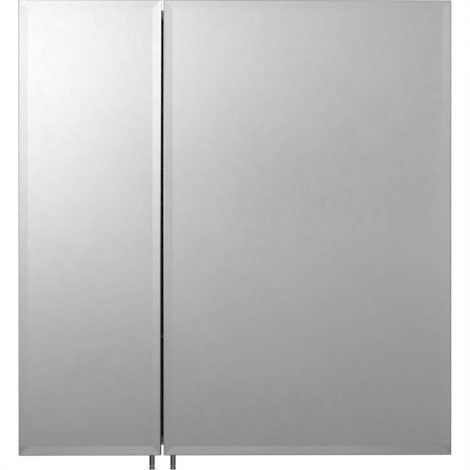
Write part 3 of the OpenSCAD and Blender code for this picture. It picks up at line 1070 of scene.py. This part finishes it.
@dataclass
class Carcass:
    """The box: its boards, back panel and rails, and what joins them."""

    arris: float = 0.5 * MM  # radius of the boards' edges
    sheet_arris: float = 0.25 * MM  # radius of the back panel's edges

    def boards(self) -> list[Piece]:
        """Builds the four boards and the two fixing rails.

        Returns:
            The new pieces.
        """
        names = ["left_side_board", "right_side_board", "top_board", "bottom_board"]
        names += ["upper_fixing_rail", "lower_fixing_rail"]
        return [rounded_copy(name, self.arris, WHITE_BOARD) for name in names]

    def back(self) -> Piece:
        """Builds the back panel."""
        return rounded_copy("back_panel", self.sheet_arris, BACK_SHEET)

    def joinery(self) -> list[Piece]:
        """Builds the screws and dowels of the box."""
        kinds = {"assembly_screws": Axis.X, "back_panel_screws": Axis.Y}
        return [*(Screw().stand_for(kind, axis) for kind, axis in kinds.items()), Dowels().build()]

    def build(self) -> list[Piece]:
        """Builds the whole box."""
        return [*self.boards(), self.back(), *self.joinery()]


@dataclass
class Shelving:
    """The three glass shelves and their pins."""

    arris: float = 0.6 * MM  # width of the polished edge round each shelf
    pin_arris: float = 0.25 * MM  # radius of the pins' edges
    level: float = 0.99  # upward part of a level face's normal

    def shelf(self, node: str) -> Piece:
        """Builds one shelf, with clear level faces and darker edges.

        Args:
            node: The shelf's node.

        Returns:
            The new piece.
        """
        piece = rounded_copy(node, self.arris, SHELF_GLASS, SHELF_EDGE)
        for face in piece.data.polygons:
            face.material_index = 0 if abs(face.normal.z) > self.level else 1
        return piece

    def build(self) -> list[Piece]:
        """Builds the shelves and pins."""
        shelves = [self.shelf(f"{level}_shelf") for level in ("upper", "middle", "lower")]
        return [*shelves, rounded_copy("shelf_pins", self.pin_arris, NICKEL)]


@dataclass
class Hinges:
    """The four hinges: what is on the box and what is on the doors."""

    arris: float = 0.35 * MM  # radius of the edges of the plates and arms
    thin_arris: float = 0.2 * MM  # radius of the edges of the thin sheet parts

    def on_box(self) -> list[Piece]:
        """Builds plates, arms and their screws.

        Returns:
            The new pieces.
        """
        nodes = ("hinge_mounting_plates", "left_hinge_arms", "right_hinge_arms")
        steel = [rounded_copy(node, self.arris, NICKEL) for node in nodes]
        kinds = {"hinge_plate_screws": Head.FLAT, "hinge_arm_screws": Head.PAN}
        return [*steel, *(Screw(head).stand_for(kind, Axis.X) for kind, head in kinds.items())]

    def on_door(self, side: Side) -> list[Piece]:
        """Builds the cups, pins, springs and screws of one door.

        Args:
            side: The door.

        Returns:
            The new pieces.
        """
        kinds = {"hinge_cups": NICKEL, "hinge_pins": ZINC, "hinge_springs": SPRING}
        parts = [rounded_copy(side.node(kind), self.thin_arris, steel) for kind, steel in kinds.items()]
        return [*parts, Screw(Head.PAN).stand_for(side.node("cup_screws"), Axis.Y)]

    def build(self) -> list[Piece]:
        """Builds all four hinges."""
        return [*self.on_box(), *self.on_door(Side.LEFT), *self.on_door(Side.RIGHT)]


class Coat(IntEnum):
    """Material numbers of a mirror's pane."""

    FRONT = 0
    EDGE = 1
    SILVER = 2
    SEAM = 3
    # ground face beside the gap, which carries painted shade on the left door
    GAP = 4


@dataclass(frozen=True)
class GapChamfer:
    """Chamfer on the edge of a mirror beside the gap, its outer part ground and the rest polished."""

    width: float
    foot: float  # width of its ground part at the foot
    top: float  # width of its ground part at the top
    knee: float  # share of the height up to which the ground part keeps the width of its foot
    finish: Finish  # of the ground part; near-black painted shade of the gap on the left door
    slope: float = 0.84  # rise over width


GAP_CHAMFERS = {
    # the left door's ground part takes the near-black painted shade of the gap
    Side.LEFT: GapChamfer(2.3 * MM, foot=1.65 * MM, top=0.4 * MM, knee=0.45, finish=GAP_SHADE_EDGE),
    Side.RIGHT: GapChamfer(1.3 * MM, foot=0.45 * MM, top=0.1 * MM, knee=0.6, finish=GLASS_SEAM),
}


@dataclass
class Mirror:
    """A bevelled mirror: clear glass, silvered and painted on its back."""

    side: Side
    arris: float = 0.7 * MM  # width of the seamed edges
    arris_slope: float = 1.1  # rise of the seamed edges
    back_arris: float = 0.49 * MM  # width of the seamed edge at the back
    corner: float = 1.6 * MM  # radius of the corners
    least_corner: float = 0.2 * MM  # least radius of the corners of lines inside the outline
    corner_steps: int = 5  # points to a corner, an odd number
    long_face: float = 40 * MM * MM  # least area of a face along an edge
    film: float = 0.1 * MM  # room for the paint on the back
    film_air: float = 0.1  # share of it left free on each side of the paint

    def __post_init__(self) -> None:
        """Reads the pane's box and its bevel from the frame."""
        self.node = self.side.node("mirror")
        self.low, self.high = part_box(self.node)
        self.bevel_width, self.bevel_depth = bevel(self.node)
        self.inner_x = self.high.x if self.side is Side.LEFT else self.low.x
        self.chamfer = GAP_CHAMFERS[self.side]

    def outline(self, inset: float, inner: float) -> list[Point]:
        """Points round the pane, with rounded corners, starting at the lower left mitre.

        Args:
            inset: Distance from the edges of the pane.
            inner: Distance from the edge beside the gap.

        Returns:
            Points (x, z), with the mitre in the middle of each corner's points.
        """
        radius = max(self.corner - max(inset, inner), self.least_corner)
        left, right = (inset, inner) if self.side is Side.LEFT else (inner, inset)
        x1, x2 = self.low.x + left + radius, self.high.x - right - radius
        z1, z2 = self.low.z + inset + radius, self.high.z - inset - radius
        points = []
        for (x, z), start in zip(((x1, z1), (x2, z1), (x2, z2), (x1, z2)), (180, 270, 0, 90)):
            for step in range(self.corner_steps):
                a = math.radians(start + 90 * step / (self.corner_steps - 1))
                points.append((x + radius * math.cos(a), z + radius * math.sin(a)))
        mitre = self.corner_steps // 2
        return points[mitre:] + points[:mitre]

    def face_height(self, x: float, z: float) -> float:
        """Y of the bevelled front at a point."""
        edge = min(x - self.low.x, self.high.x - x, z - self.low.z, self.high.z - z)
        return self.low.y + self.bevel_depth * max(0.0, 1.0 - edge / self.bevel_width)

    def rim_height(self, x: float, z: float) -> float:
        """Y of the front where the seamed and polished edges meet the side walls.

        Args:
            x: Place across, on the rim.
            z: Place up, on the rim.

        Returns:
            The y of the rim there.
        """
        from_gap = abs(x - self.inner_x)
        outer = self.high.x - x if self.side is Side.RIGHT else x - self.low.x
        edge = min(outer, z - self.low.z, self.high.z - z)
        seam = (self.arris - edge) * self.arris_slope
        chamfer = (self.chamfer.width - from_gap) * self.chamfer.slope
        return self.face_height(x, z) + max(seam, chamfer, 0.0)

    def near_gap(self, x: float) -> bool:
        """Tells whether a place across lies on the chamfer beside the gap."""
        return abs(x - self.inner_x) < self.chamfer.width

    def strip(self, bm: Shape, low: Sequence[Vert], high: Sequence[Vert], coat: Coat, beside: Coat) -> None:
        """Joins two rings of points and gives the band between them its finish.

        Args:
            bm: The mesh in work.
            low: One ring.
            high: The other ring.
            coat: Its finish.
            beside: Finish of the long face beside the gap.
        """
        for face in join(bm, low, high):
            is_beside = face.calc_area() > self.long_face and self.near_gap(face.calc_center_median().x)
            face.material_index = beside if is_beside else coat

    def bend(self, ground: Sequence[Vert]) -> None:
        """Bends the long line between the ground and polished parts at its knee.

        Args:
            ground: The ring between the two parts.
        """
        near = [vert for vert in ground if self.near_gap(vert.co.x)]
        lines = [edge for vert in near for edge in vert.link_edges if edge.other_vert(vert) in near]
        line = max(lines, key=lambda edge: edge.calc_length())
        foot, top = sorted(line.verts, key=lambda vert: vert.co.z)
        place = Vector((foot.co.x, foot.co.y, foot.co.z + self.chamfer.knee * (top.co.z - foot.co.z)))
        bmesh.utils.edge_split(line, foot, self.chamfer.knee)[1].co = place

    def pane(self) -> Piece:
        """Builds the glass with its silvered back.

        Returns:
            The new piece.
        """
        silver_y, sides = self.high.y - self.film, self.outline(0.0, 0.0)
        face = self.outline(self.arris, self.chamfer.width)
        bm = bmesh.new()
        back = [bm.verts.new((x, silver_y, z)) for x, z in self.outline(self.back_arris, self.back_arris)]
        wall = [bm.verts.new((x, silver_y - self.back_arris, z)) for x, z in sides]
        rim = [bm.verts.new((x, self.rim_height(x, z), z)) for x, z in sides]
        front = [bm.verts.new((x, self.face_height(x, z), z)) for x, z in face]
        ground = []
        for low, high in zip(rim, front):
            upper = low.co.z > (self.low.z + self.high.z) / 2
            width = self.chamfer.top if upper else self.chamfer.foot
            ground.append(bm.verts.new(low.co.lerp(high.co, width / self.chamfer.width)))
        self.strip(bm, back, wall, Coat.EDGE, Coat.EDGE)
        self.strip(bm, wall, rim, Coat.EDGE, Coat.EDGE)
        # the long ground face beside the gap takes the chamfer's finish, which is painted shade on the left
        # door
        self.strip(bm, rim, ground, Coat.SEAM, Coat.GAP)
        self.strip(bm, ground, front, Coat.SEAM, Coat.FRONT)
        self.bend(ground)
        bm.faces.new(back).material_index = Coat.SILVER
        self.fill(bm, front)
        bmesh.ops.recalc_face_normals(bm, faces=bm.faces)
        finishes = [MIRROR_GLASS, GLASS_EDGE, SILVER, GLASS_SEAM, self.chamfer.finish]
        return adopt(from_bmesh(self.node + ".pane", bm, finishes, smooth=False), self.node)

    def fill(self, bm: Shape, front: Sequence[Vert]) -> None:
        """Fills the front: the flat face and the four bevels, which meet at the mitres.

        Args:
            bm: The mesh in work.
            front: Ring of points at the outer edge of the bevels.
        """
        w, steps = self.bevel_width, self.corner_steps
        x1, x2, z1, z2 = self.low.x + w, self.high.x - w, self.low.z + w, self.high.z - w
        flat = [bm.verts.new((x, self.low.y, z)) for x, z in ((x1, z1), (x2, z1), (x2, z2), (x1, z2))]
        bm.faces.new(flat)
        for side in range(4):
            run = [front[(steps * side + step) % len(front)] for step in range(steps + 1)]
            bm.faces.new([*run, flat[(side + 1) % 4], flat[side]])

    def paint(self) -> Piece:
        """Builds the film of paint behind the silver.

        Returns:
            The new piece.
        """
        bm = bmesh.new()
        sides = self.outline(self.arris, self.arris)
        levels = [self.high.y - self.film * share for share in (1.0 - self.film_air, self.film_air)]
        skin(bm, [[bm.verts.new((x, y, z)) for x, z in sides] for y in levels])
        return belong(from_bmesh(self.node + ".back_paint", bm, [BACK_PAINT], smooth=False), self.node)

    def build(self) -> list[Piece]:
        """Builds the pane and its paint."""
        return [self.pane(), self.paint()]


COLLAR_ANGLES = (0, 25, 55, 80)
ROUND_ANGLES = (15, 30, 45, 60, 75)


@dataclass
class Pull:
    """The round bar pull under a door: a bar with a fine groove, a collar and a rounded tip."""

    side: Side
    play: float = 0.02 * MM  # clearance round the stud
    bore: float = 0.5 * MM  # depth of the bore past the stud's end
    top_edge: float = 0.25 * MM  # radius of the bar's upper edge
    edge_point: Point = (0.28, 0.32)  # distances of its middle point from the side and top, as shares
    bar_inset: float = 0.25 * MM  # how far the bar stands back from the collar
    groove: float = 6.6 * MM  # height of the groove's upper edge over the tip
    groove_depth: float = 0.35 * MM
    shoulder: Point = (0.1 * MM, 0.06 * MM)  # width and height of the step into the groove
    groove_slope: float = 0.2 * MM  # height of the groove's upper flank
    collar_top: float = 3.7 * MM  # height of the collar's upper edge over the tip
    collar_foot: float = 0.85 * MM  # height of the collar's lower edge over the tip
    collar_gap: float = 0.05 * MM  # distance from the groove's floor to the collar
    collar_edge: float = 0.3 * MM  # radius of the collar's edges
    tip_inset: float = 1.4 * MM  # how far the tip's rounding starts inside the collar
    tip_edge: float = 0.8 * MM  # radius of the tip's rounding
    turns: int = 64  # steps round it

    def profile(self) -> list[Point]:
        """Draws half the section, from the bore's end to the tip.

        Returns:
            Points (radius, height).
        """
        low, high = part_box(self.side.node("pull"))
        stud_low, stud_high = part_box(self.side.node("pull_stud"))
        collar, stud = (high.x - low.x) / 2, (stud_high.x - stud_low.x) / 2 + self.play
        bar, top, tip, edge = collar - self.bar_inset, high.z, low.z, self.top_edge
        profile = [(0.0, stud_low.z - self.bore), (stud, stud_low.z - self.bore), (stud, top)]
        inward, down = self.edge_point
        profile += [(bar - edge, top), (bar - inward * edge, top - down * edge), (bar, top - edge)]
        groove, floor = tip + self.groove, bar - self.groove_depth
        profile += [(bar, groove), (bar - self.shoulder[0], groove - self.shoulder[1])]
        profile += [(floor, groove - self.groove_slope), (floor, tip + self.collar_top + self.collar_gap)]
        profile += fillet(collar, tip + self.collar_top, self.collar_edge, -1, COLLAR_ANGLES[::-1])
        profile += fillet(collar, tip + self.collar_foot, self.collar_edge, 1, COLLAR_ANGLES)
        inset = collar - self.tip_inset + self.tip_edge
        return [*profile, *fillet(inset, tip, self.tip_edge, 1, (*ROUND_ANGLES, 90)), (0.0, tip)]

    def build(self) -> Piece:
        """Turns the pull.

        Returns:
            The new piece.
        """
        node, bm = self.side.node("pull"), lathe(self.profile(), self.turns)
        centre_on(bm, node)
        return stand_in(node, bm, CHROME)


@dataclass
class Stud:
    """The threaded stud that holds a pull."""

    side: Side
    lead: float = 0.7 * MM  # distance between two turns of the thread
    depth: float = 0.42 * MM
    end: float = 0.5 * MM  # length of each chamfered end
    tip: float = 0.7  # radius of the ends, as a share of the thread's
    steps: int = 4  # steps along one turn of the thread
    turns: int = 24  # steps round it

    def build(self) -> Piece:
        """Turns the stud.

        Returns:
            The new piece.
        """
        node = self.side.node("pull_stud")
        low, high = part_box(node)
        crest = (high.x - low.x) / 2
        count = int((high.z - low.z - 2 * self.end) / (self.lead / self.steps))
        bm = bmesh.new()
        rings = [ring(bm, crest * self.tip, low.z, self.turns)]
        for step in range(count + 1):
            height = low.z + self.end + step * self.lead / self.steps
            rings.append(ring(bm, 1.0, height, self.turns))
            for i, vert in enumerate(rings[-1]):
                phase = (step / self.steps + i / self.turns) % 1.0
                vert.co.xy *= crest - self.depth * abs(phase - 0.5) * 2
        rings.append(ring(bm, crest * self.tip, high.z, self.turns))
        skin(bm, rings)
        centre_on(bm, node)
        return stand_in(node, bm, ZINC)


@dataclass
class Bumpers:
    """The two stick-on bumpers of a door, with a low dome facing the box."""

    side: Side
    # points (radius, height) from the foot to the dome, as shares of the bumper's
    rim: tuple[Point, ...] = ((0.0, 0.0), (0.96, 0.0), (1.0, 0.12), (0.97, 0.35))
    dome: Point = (0.95, 0.6)  # radius and height of the dome, as shares of the bumper's
    turns: int = 40  # steps round each

    def build(self) -> Piece:
        """Turns the bumpers.

        Returns:
            The new piece.
        """
        node = self.side.node("bumpers")
        low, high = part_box(node)
        radius, height = (high.x - low.x) / 2, high.y - low.y
        profile = [(radius * share, height * up) for share, up in self.rim]
        wide, tall = self.dome
        for a in map(math.radians, ROUND_ANGLES):
            profile.append((radius * wide * math.cos(a), height * (1.0 - tall * (1.0 - math.sin(a)))))
        profile.append((0.0, height))
        bm = bmesh.new()
        for middle in (low.z + radius, high.z - radius):
            one = lathe(profile, self.turns)
            at = Matrix.Translation(((low.x + high.x) / 2, low.y, middle))
            one.transform(at @ Matrix.Rotation(-math.pi / 2, 4, "X"))
            merge(one, bm)
        return stand_in(node, bm, RUBBER)


@dataclass
class Door:
    """One door: its mirror, board, pull, stud and bumpers."""

    side: Side
    arris: float = 0.5 * MM  # radius of the board's edges

    def board(self) -> Piece:
        """Builds the board."""
        return rounded_copy(self.side.node("door_board"), self.arris, WHITE_BOARD)

    def build(self) -> list[Piece]:
        """Builds the door."""
        parts = (Pull(self.side), Stud(self.side), Bumpers(self.side))
        return [*Mirror(self.side).build(), self.board(), *(part.build() for part in parts)]


# ---- studio ----


def bare_material(name: str) -> tuple[bpy.types.Material, Graph]:
    """Makes an empty material for a stage surface.

    Args:
        name: Name of the material.

    Returns:
        The material and its graph.
    """
    material = bpy.data.materials.new(name)
    material.use_nodes = True
    material.node_tree.nodes.clear()
    return material, Graph(material.node_tree)


def stage_sheet(name: str, corners: Sequence[Sequence[float]], material: bpy.types.Material) -> Piece:
    """Makes a flat stage surface with its origin at the frame's origin.

    Args:
        name: Name of the surface.
        corners: Its corners in turn.
        material: Its material.

    Returns:
        The stage surface.
    """
    mesh = bpy.data.meshes.new(name)
    mesh.from_pydata(corners, [], [tuple(range(len(corners)))])
    mesh.materials.append(material)
    piece = bpy.data.objects.new(name, mesh)
    bpy.context.scene.collection.objects.link(piece)
    return piece


@dataclass(frozen=True)
class Viewpoint:
    """Where the camera stands, almost straight in front of the doors."""

    lens: float = 147.0  # in millimetres
    sensor: float = 36.0  # width, in millimetres
    distance: float = 2.7005  # from the camera to the mirrors' front
    height: float = -0.0104
    turn: float = 1.1  # angle between the camera's line and straight on, in degrees
    aim: float = -0.6 * MM  # X of the point on the mirrors' front that it faces
    clip: Point = (0.1, 50.0)  # nearest and farthest that shows

    def build(self, front: float) -> None:
        """Makes the camera.

        Args:
            front: Y of the mirrors' front.
        """
        data = bpy.data.cameras.new("camera")
        data.lens, data.sensor_width = self.lens, self.sensor
        data.clip_start, data.clip_end = self.clip
        camera = bpy.data.objects.new("camera", data)
        turn = math.radians(self.turn)
        across, back = self.distance * math.sin(turn), self.distance * math.cos(turn)
        camera.location = (-across, front - back, self.height)
        aim = Vector((self.aim, front, self.height)) - camera.location
        camera.rotation_euler = aim.to_track_quat("-Z", "Y").to_euler()
        bpy.context.scene.collection.objects.link(camera)
        bpy.context.scene.camera = camera


@dataclass(frozen=True)
class Patch:
    """A soft round patch of light or shade on the surround card."""

    middle: Point  # its middle, across and up
    size: Point  # its reach, across and up
    power: float  # its level in the middle, below 0 for shade

    def level(self, g: Graph, x: Socket, z: Socket) -> Socket:
        """Builds the patch in a graph.

        Args:
            g: The graph to build in.
            x: Place across.
            z: Place up.

        Returns:
            Its level, which falls from its power in the middle to 0.
        """
        total: Any = 0.0
        for value, middle, size in zip((x, z), self.middle, self.size):
            away = g.math("DIVIDE", g.math("SUBTRACT", value, middle), size)
            total = g.math("SUBTRACT", total, g.math("MULTIPLY", away, away))
        return g.math("MULTIPLY", g.math("EXPONENT", total), self.power)


GLOW = Patch((-0.421, 0.234), (0.516, 0.317), 0.747)
SHADE = Patch((-0.007, 0.092), (0.255, 0.167), -0.119)
LEFT_STRIP = Patch((-0.8, 0.42), (0.12, 0.22), 0.5)
RIGHT_STRIP = Patch((0.6, 0.07), (0.08, 0.18), 0.62)


@dataclass(frozen=True)
class Surround:
    """The soft card in front of the doors, which only mirrors and metal show."""

    distance: float = 1.3  # from the mirrors' front to the card
    half: float = 2.0  # half of the card's width and height
    reach: float = 0.32  # height over the middle at which its base level stops changing
    base: Point = (0.278, 0.386)  # base level at the foot and in the middle
    fall: float = -0.02  # change of the base level from the middle to the top
    corner_x: Point = (0.16, 0.3)  # distances from the middle between which the lower corners darken
    corner_z: Point = (-0.24, -0.34)  # heights between which they darken
    corner_shade: float = 0.02  # how much they darken
    fade_x: Point = (1.0, 1.35)  # distances from the middle between which the card fades out
    fade_z: Point = (0.9, 1.9)  # the same, for heights

    def level(self, g: Graph, point: Any, view: Viewpoint) -> Socket:
        """Builds the card's brightness, laid out as the mirrors show it from the viewpoint.

        Args:
            g: The card's graph.
            point: The place on the card, in three parts.
            view: The viewpoint.

        Returns:
            The brightness.
        """
        scale = 1.0 + self.distance / view.distance
        across, up = self.distance * math.tan(math.radians(view.turn)), view.height * (1 - scale)
        x = g.math("DIVIDE", g.math("SUBTRACT", point[0], across), scale)
        z = g.math("DIVIDE", g.math("SUBTRACT", point[2], up), scale)
        foot = g.remap(z, -self.reach, 0.0, *self.base)
        level = g.math("ADD", foot, g.remap(z, 0.0, self.reach, 0.0, self.fall))
        for patch, place in ((GLOW, x), (SHADE, x), (LEFT_STRIP, point[0]), (RIGHT_STRIP, point[0])):
            level = g.math("ADD", level, patch.level(g, place, z))
        outer = g.remap(g.math("ABSOLUTE", x), *self.corner_x, 0.0, 1.0)
        corners = g.math("MULTIPLY", outer, g.remap(z, *self.corner_z, 0.0, self.corner_shade))
        return g.math("SUBTRACT", level, corners)

    def build(self, front: float, view: Viewpoint) -> None:
        """Makes the card.

        Args:
            front: Y of the mirrors' front.
            view: The viewpoint that the mirrors are seen from.
        """
        material, g = bare_material("surround")
        point = g.split(g.point())
        level = self.level(g, point, view)
        light = g.add("Emission", {"Color": WHITE, "Strength": level}).outputs[0]
        spans = ((point[0], self.fade_x), (point[2], self.fade_z))
        solid = [g.remap(g.math("ABSOLUTE", at), *fade, 1.0, 0.0, smooth=True) for at, fade in spans]
        clear = g.add("BsdfTransparent").outputs[0]
        mix = g.add("MixShader", {0: g.math("MULTIPLY", *solid), 1: clear, 2: light})
        g.add("OutputMaterial", {"Surface": mix.outputs[0]})
        y, h = front - self.distance, self.half
        card = stage_sheet("surround_card", [(-h, y, -h), (h, y, -h), (h, y, h), (-h, y, h)], material)
        card.visible_camera = card.visible_diffuse = card.visible_shadow = card.visible_volume_scatter = False


@dataclass(frozen=True)
class Floor:
    """The pale floor, fading into the backdrop at its rim and open from below."""

    height: float = -1.25
    radius: float = 2.4
    fade: Point = (1.3, 2.3)  # distances from the middle between which it fades into the backdrop
    tone: Point = (0.8, 0.83)  # its brightness, between two values
    glow: float = 0.3  # light that it gives to what the camera doesn't see directly
    sides: int = 64  # steps round its rim

    def build(self) -> None:
        """Makes the floor."""
        material, g = bare_material("pale_floor")
        reach = g.add("VectorMath", {0: g.point()}, operation="LENGTH").outputs["Value"]
        grain = g.effect(Mottle, Scale=3.0, Low=self.tone[0], High=self.tone[1])
        colour = g.add("CombineColor", {0: grain, 1: grain, 2: grain}).outputs[0]
        matt = g.add("BsdfDiffuse", {"Color": colour}).outputs[0]
        path = g.add("LightPath").outputs
        seen = g.highest(*(path[f"Is {kind} Ray"] for kind in ("Camera", "Glossy", "Transmission")))
        power = g.remap(seen, 0.0, 1.0, self.glow, 1.0)
        white = g.add("Emission", {"Color": WHITE, "Strength": power}).outputs[0]
        fade = g.remap(reach, *self.fade, 0.0, 1.0, smooth=True)
        above = g.add("MixShader", {0: fade, 1: matt, 2: white}).outputs[0]
        under = g.add("NewGeometry").outputs["Backfacing"]
        below = g.add("BsdfTransparent").outputs[0]
        surface = g.add("MixShader", {0: under, 1: above, 2: below}).outputs[0]
        g.add("OutputMaterial", {"Surface": surface})
        turn = [math.tau * i / self.sides for i in range(self.sides)]
        rim = [(self.radius * math.cos(a), self.radius * math.sin(a), 0.0) for a in turn]
        floor = stage_sheet("floor", rim, material)
        floor.location.z = self.height
        floor.visible_diffuse = False


@dataclass(frozen=True)
class Band:
    """Light of the backdrop that changes with one direction."""

    axis: Axis
    span: Point  # directions between which it changes
    levels: Point  # level at each end of the span
    smooth: bool = True  # eases both ends
    both: bool = False  # changes in the same way on both sides

    def level(self, g: Graph, way: Any) -> Socket:
        """Builds the band's level for a direction in three parts."""
        value = g.math("ABSOLUTE", way[self.axis]) if self.both else way[self.axis]
        return g.remap(value, *self.span, *self.levels, smooth=self.smooth)


@dataclass(frozen=True)
class Backdrop:
    """The white backdrop, the soft room light and the darker sides of the studio."""

    # what mirrors, metal and glass show
    shown: tuple[Band, ...] = (
        Band(Axis.Y, (-1.0, -0.72), (0.45, 0.012)),
        Band(Axis.X, (0.2, 0.8), (0.0, 0.09)),
        Band(Axis.Z, (-0.02, 0.55), (0.0, 0.75)),
        Band(Axis.Z, (-0.16, -0.4), (0.0, 1.0)),
        Band(Axis.Y, (0.92, 0.99), (0.0, 1.0)),
    )
    # room light, less of it from straight in front
    beside: Band = Band(Axis.X, (0.1, 0.3), (0.22, 1.0), smooth=False, both=True)
    rear: Band = Band(Axis.Y, (-0.1, 0.1), (0.0, 1.0), smooth=False)  # room light from behind
    # room light, more of it from above
    overhead: Band = Band(Axis.Z, (-0.5, 0.6), (0.25, 0.8), smooth=False)

    def build(self) -> None:
        """Makes the world."""
        world = bpy.data.worlds.new("studio")
        bpy.context.scene.world = world
        world.use_nodes = True
        world.node_tree.nodes.clear()
        g = Graph(world.node_tree)
        path = g.add("LightPath").outputs
        way = g.split(g.add("TexCoord").outputs["Generated"])
        sides = g.highest(*(band.level(g, way) for band in self.shown))
        around = g.highest(self.beside.level(g, way), self.rear.level(g, way))
        soft = g.math("MULTIPLY", self.overhead.level(g, way), around)
        shiny = g.highest(path["Is Glossy Ray"], path["Is Transmission Ray"])
        level = g.add("Mix", {0: shiny, 2: soft, 3: sides}).outputs[0]
        level = g.highest(level, path["Is Camera Ray"])
        shader = g.add("Background", {"Color": WHITE, "Strength": level})
        g.add("OutputWorld", {"Surface": shader.outputs[0]})


@dataclass(frozen=True)
class Lamp:
    """A soft area lamp that faces the cabinet and shows in no mirror."""

    name: str
    at: Triple
    size: float  # width
    power: float  # in watts

    def build(self) -> None:
        """Makes the lamp."""
        data = bpy.data.lights.new(self.name, "AREA")
        data.shape, data.size, data.energy = "DISK", self.size, self.power
        lamp = bpy.data.objects.new(self.name, data)
        lamp.location = self.at
        lamp.rotation_euler = (-Vector(self.at)).to_track_quat("-Z", "Y").to_euler()
        lamp.visible_camera = lamp.visible_glossy = lamp.visible_transmission = False
        bpy.context.scene.collection.objects.link(lamp)


@dataclass(frozen=True)
class Studio:
    """Camera, surround card, floor, backdrop and lamps."""

    view: Viewpoint = Viewpoint()
    surround: Surround = Surround()
    floor: Floor = Floor()
    backdrop: Backdrop = Backdrop()
    lamps: tuple[Lamp, ...] = (
        Lamp("key", (-1.6, -2.2, 1.9), 1.2, 42.0),
        Lamp("fill", (2.0, -1.8, 0.4), 1.4, 20.0),
        Lamp("rear", (0.6, 2.4, 1.6), 1.4, 32.0),
    )

    def build(self) -> None:
        """Builds the studio."""
        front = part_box("left_mirror")[0].y
        self.view.build(front)
        self.surround.build(front, self.view)
        self.floor.build()
        self.backdrop.build()
        for lamp in self.lamps:
            lamp.build()
        bpy.context.scene.view_settings.view_transform = "Standard"


def main() -> None:
    """Builds the cabinet and its studio."""
    logging.basicConfig(level=logging.INFO, format="%(name)s: %(message)s")
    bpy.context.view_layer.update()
    for part in (Carcass(), Shelving(), Hinges(), Door(Side.LEFT), Door(Side.RIGHT)):
        for piece in part.build():
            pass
    Studio().build()


if __name__ == "__main__":
    main()
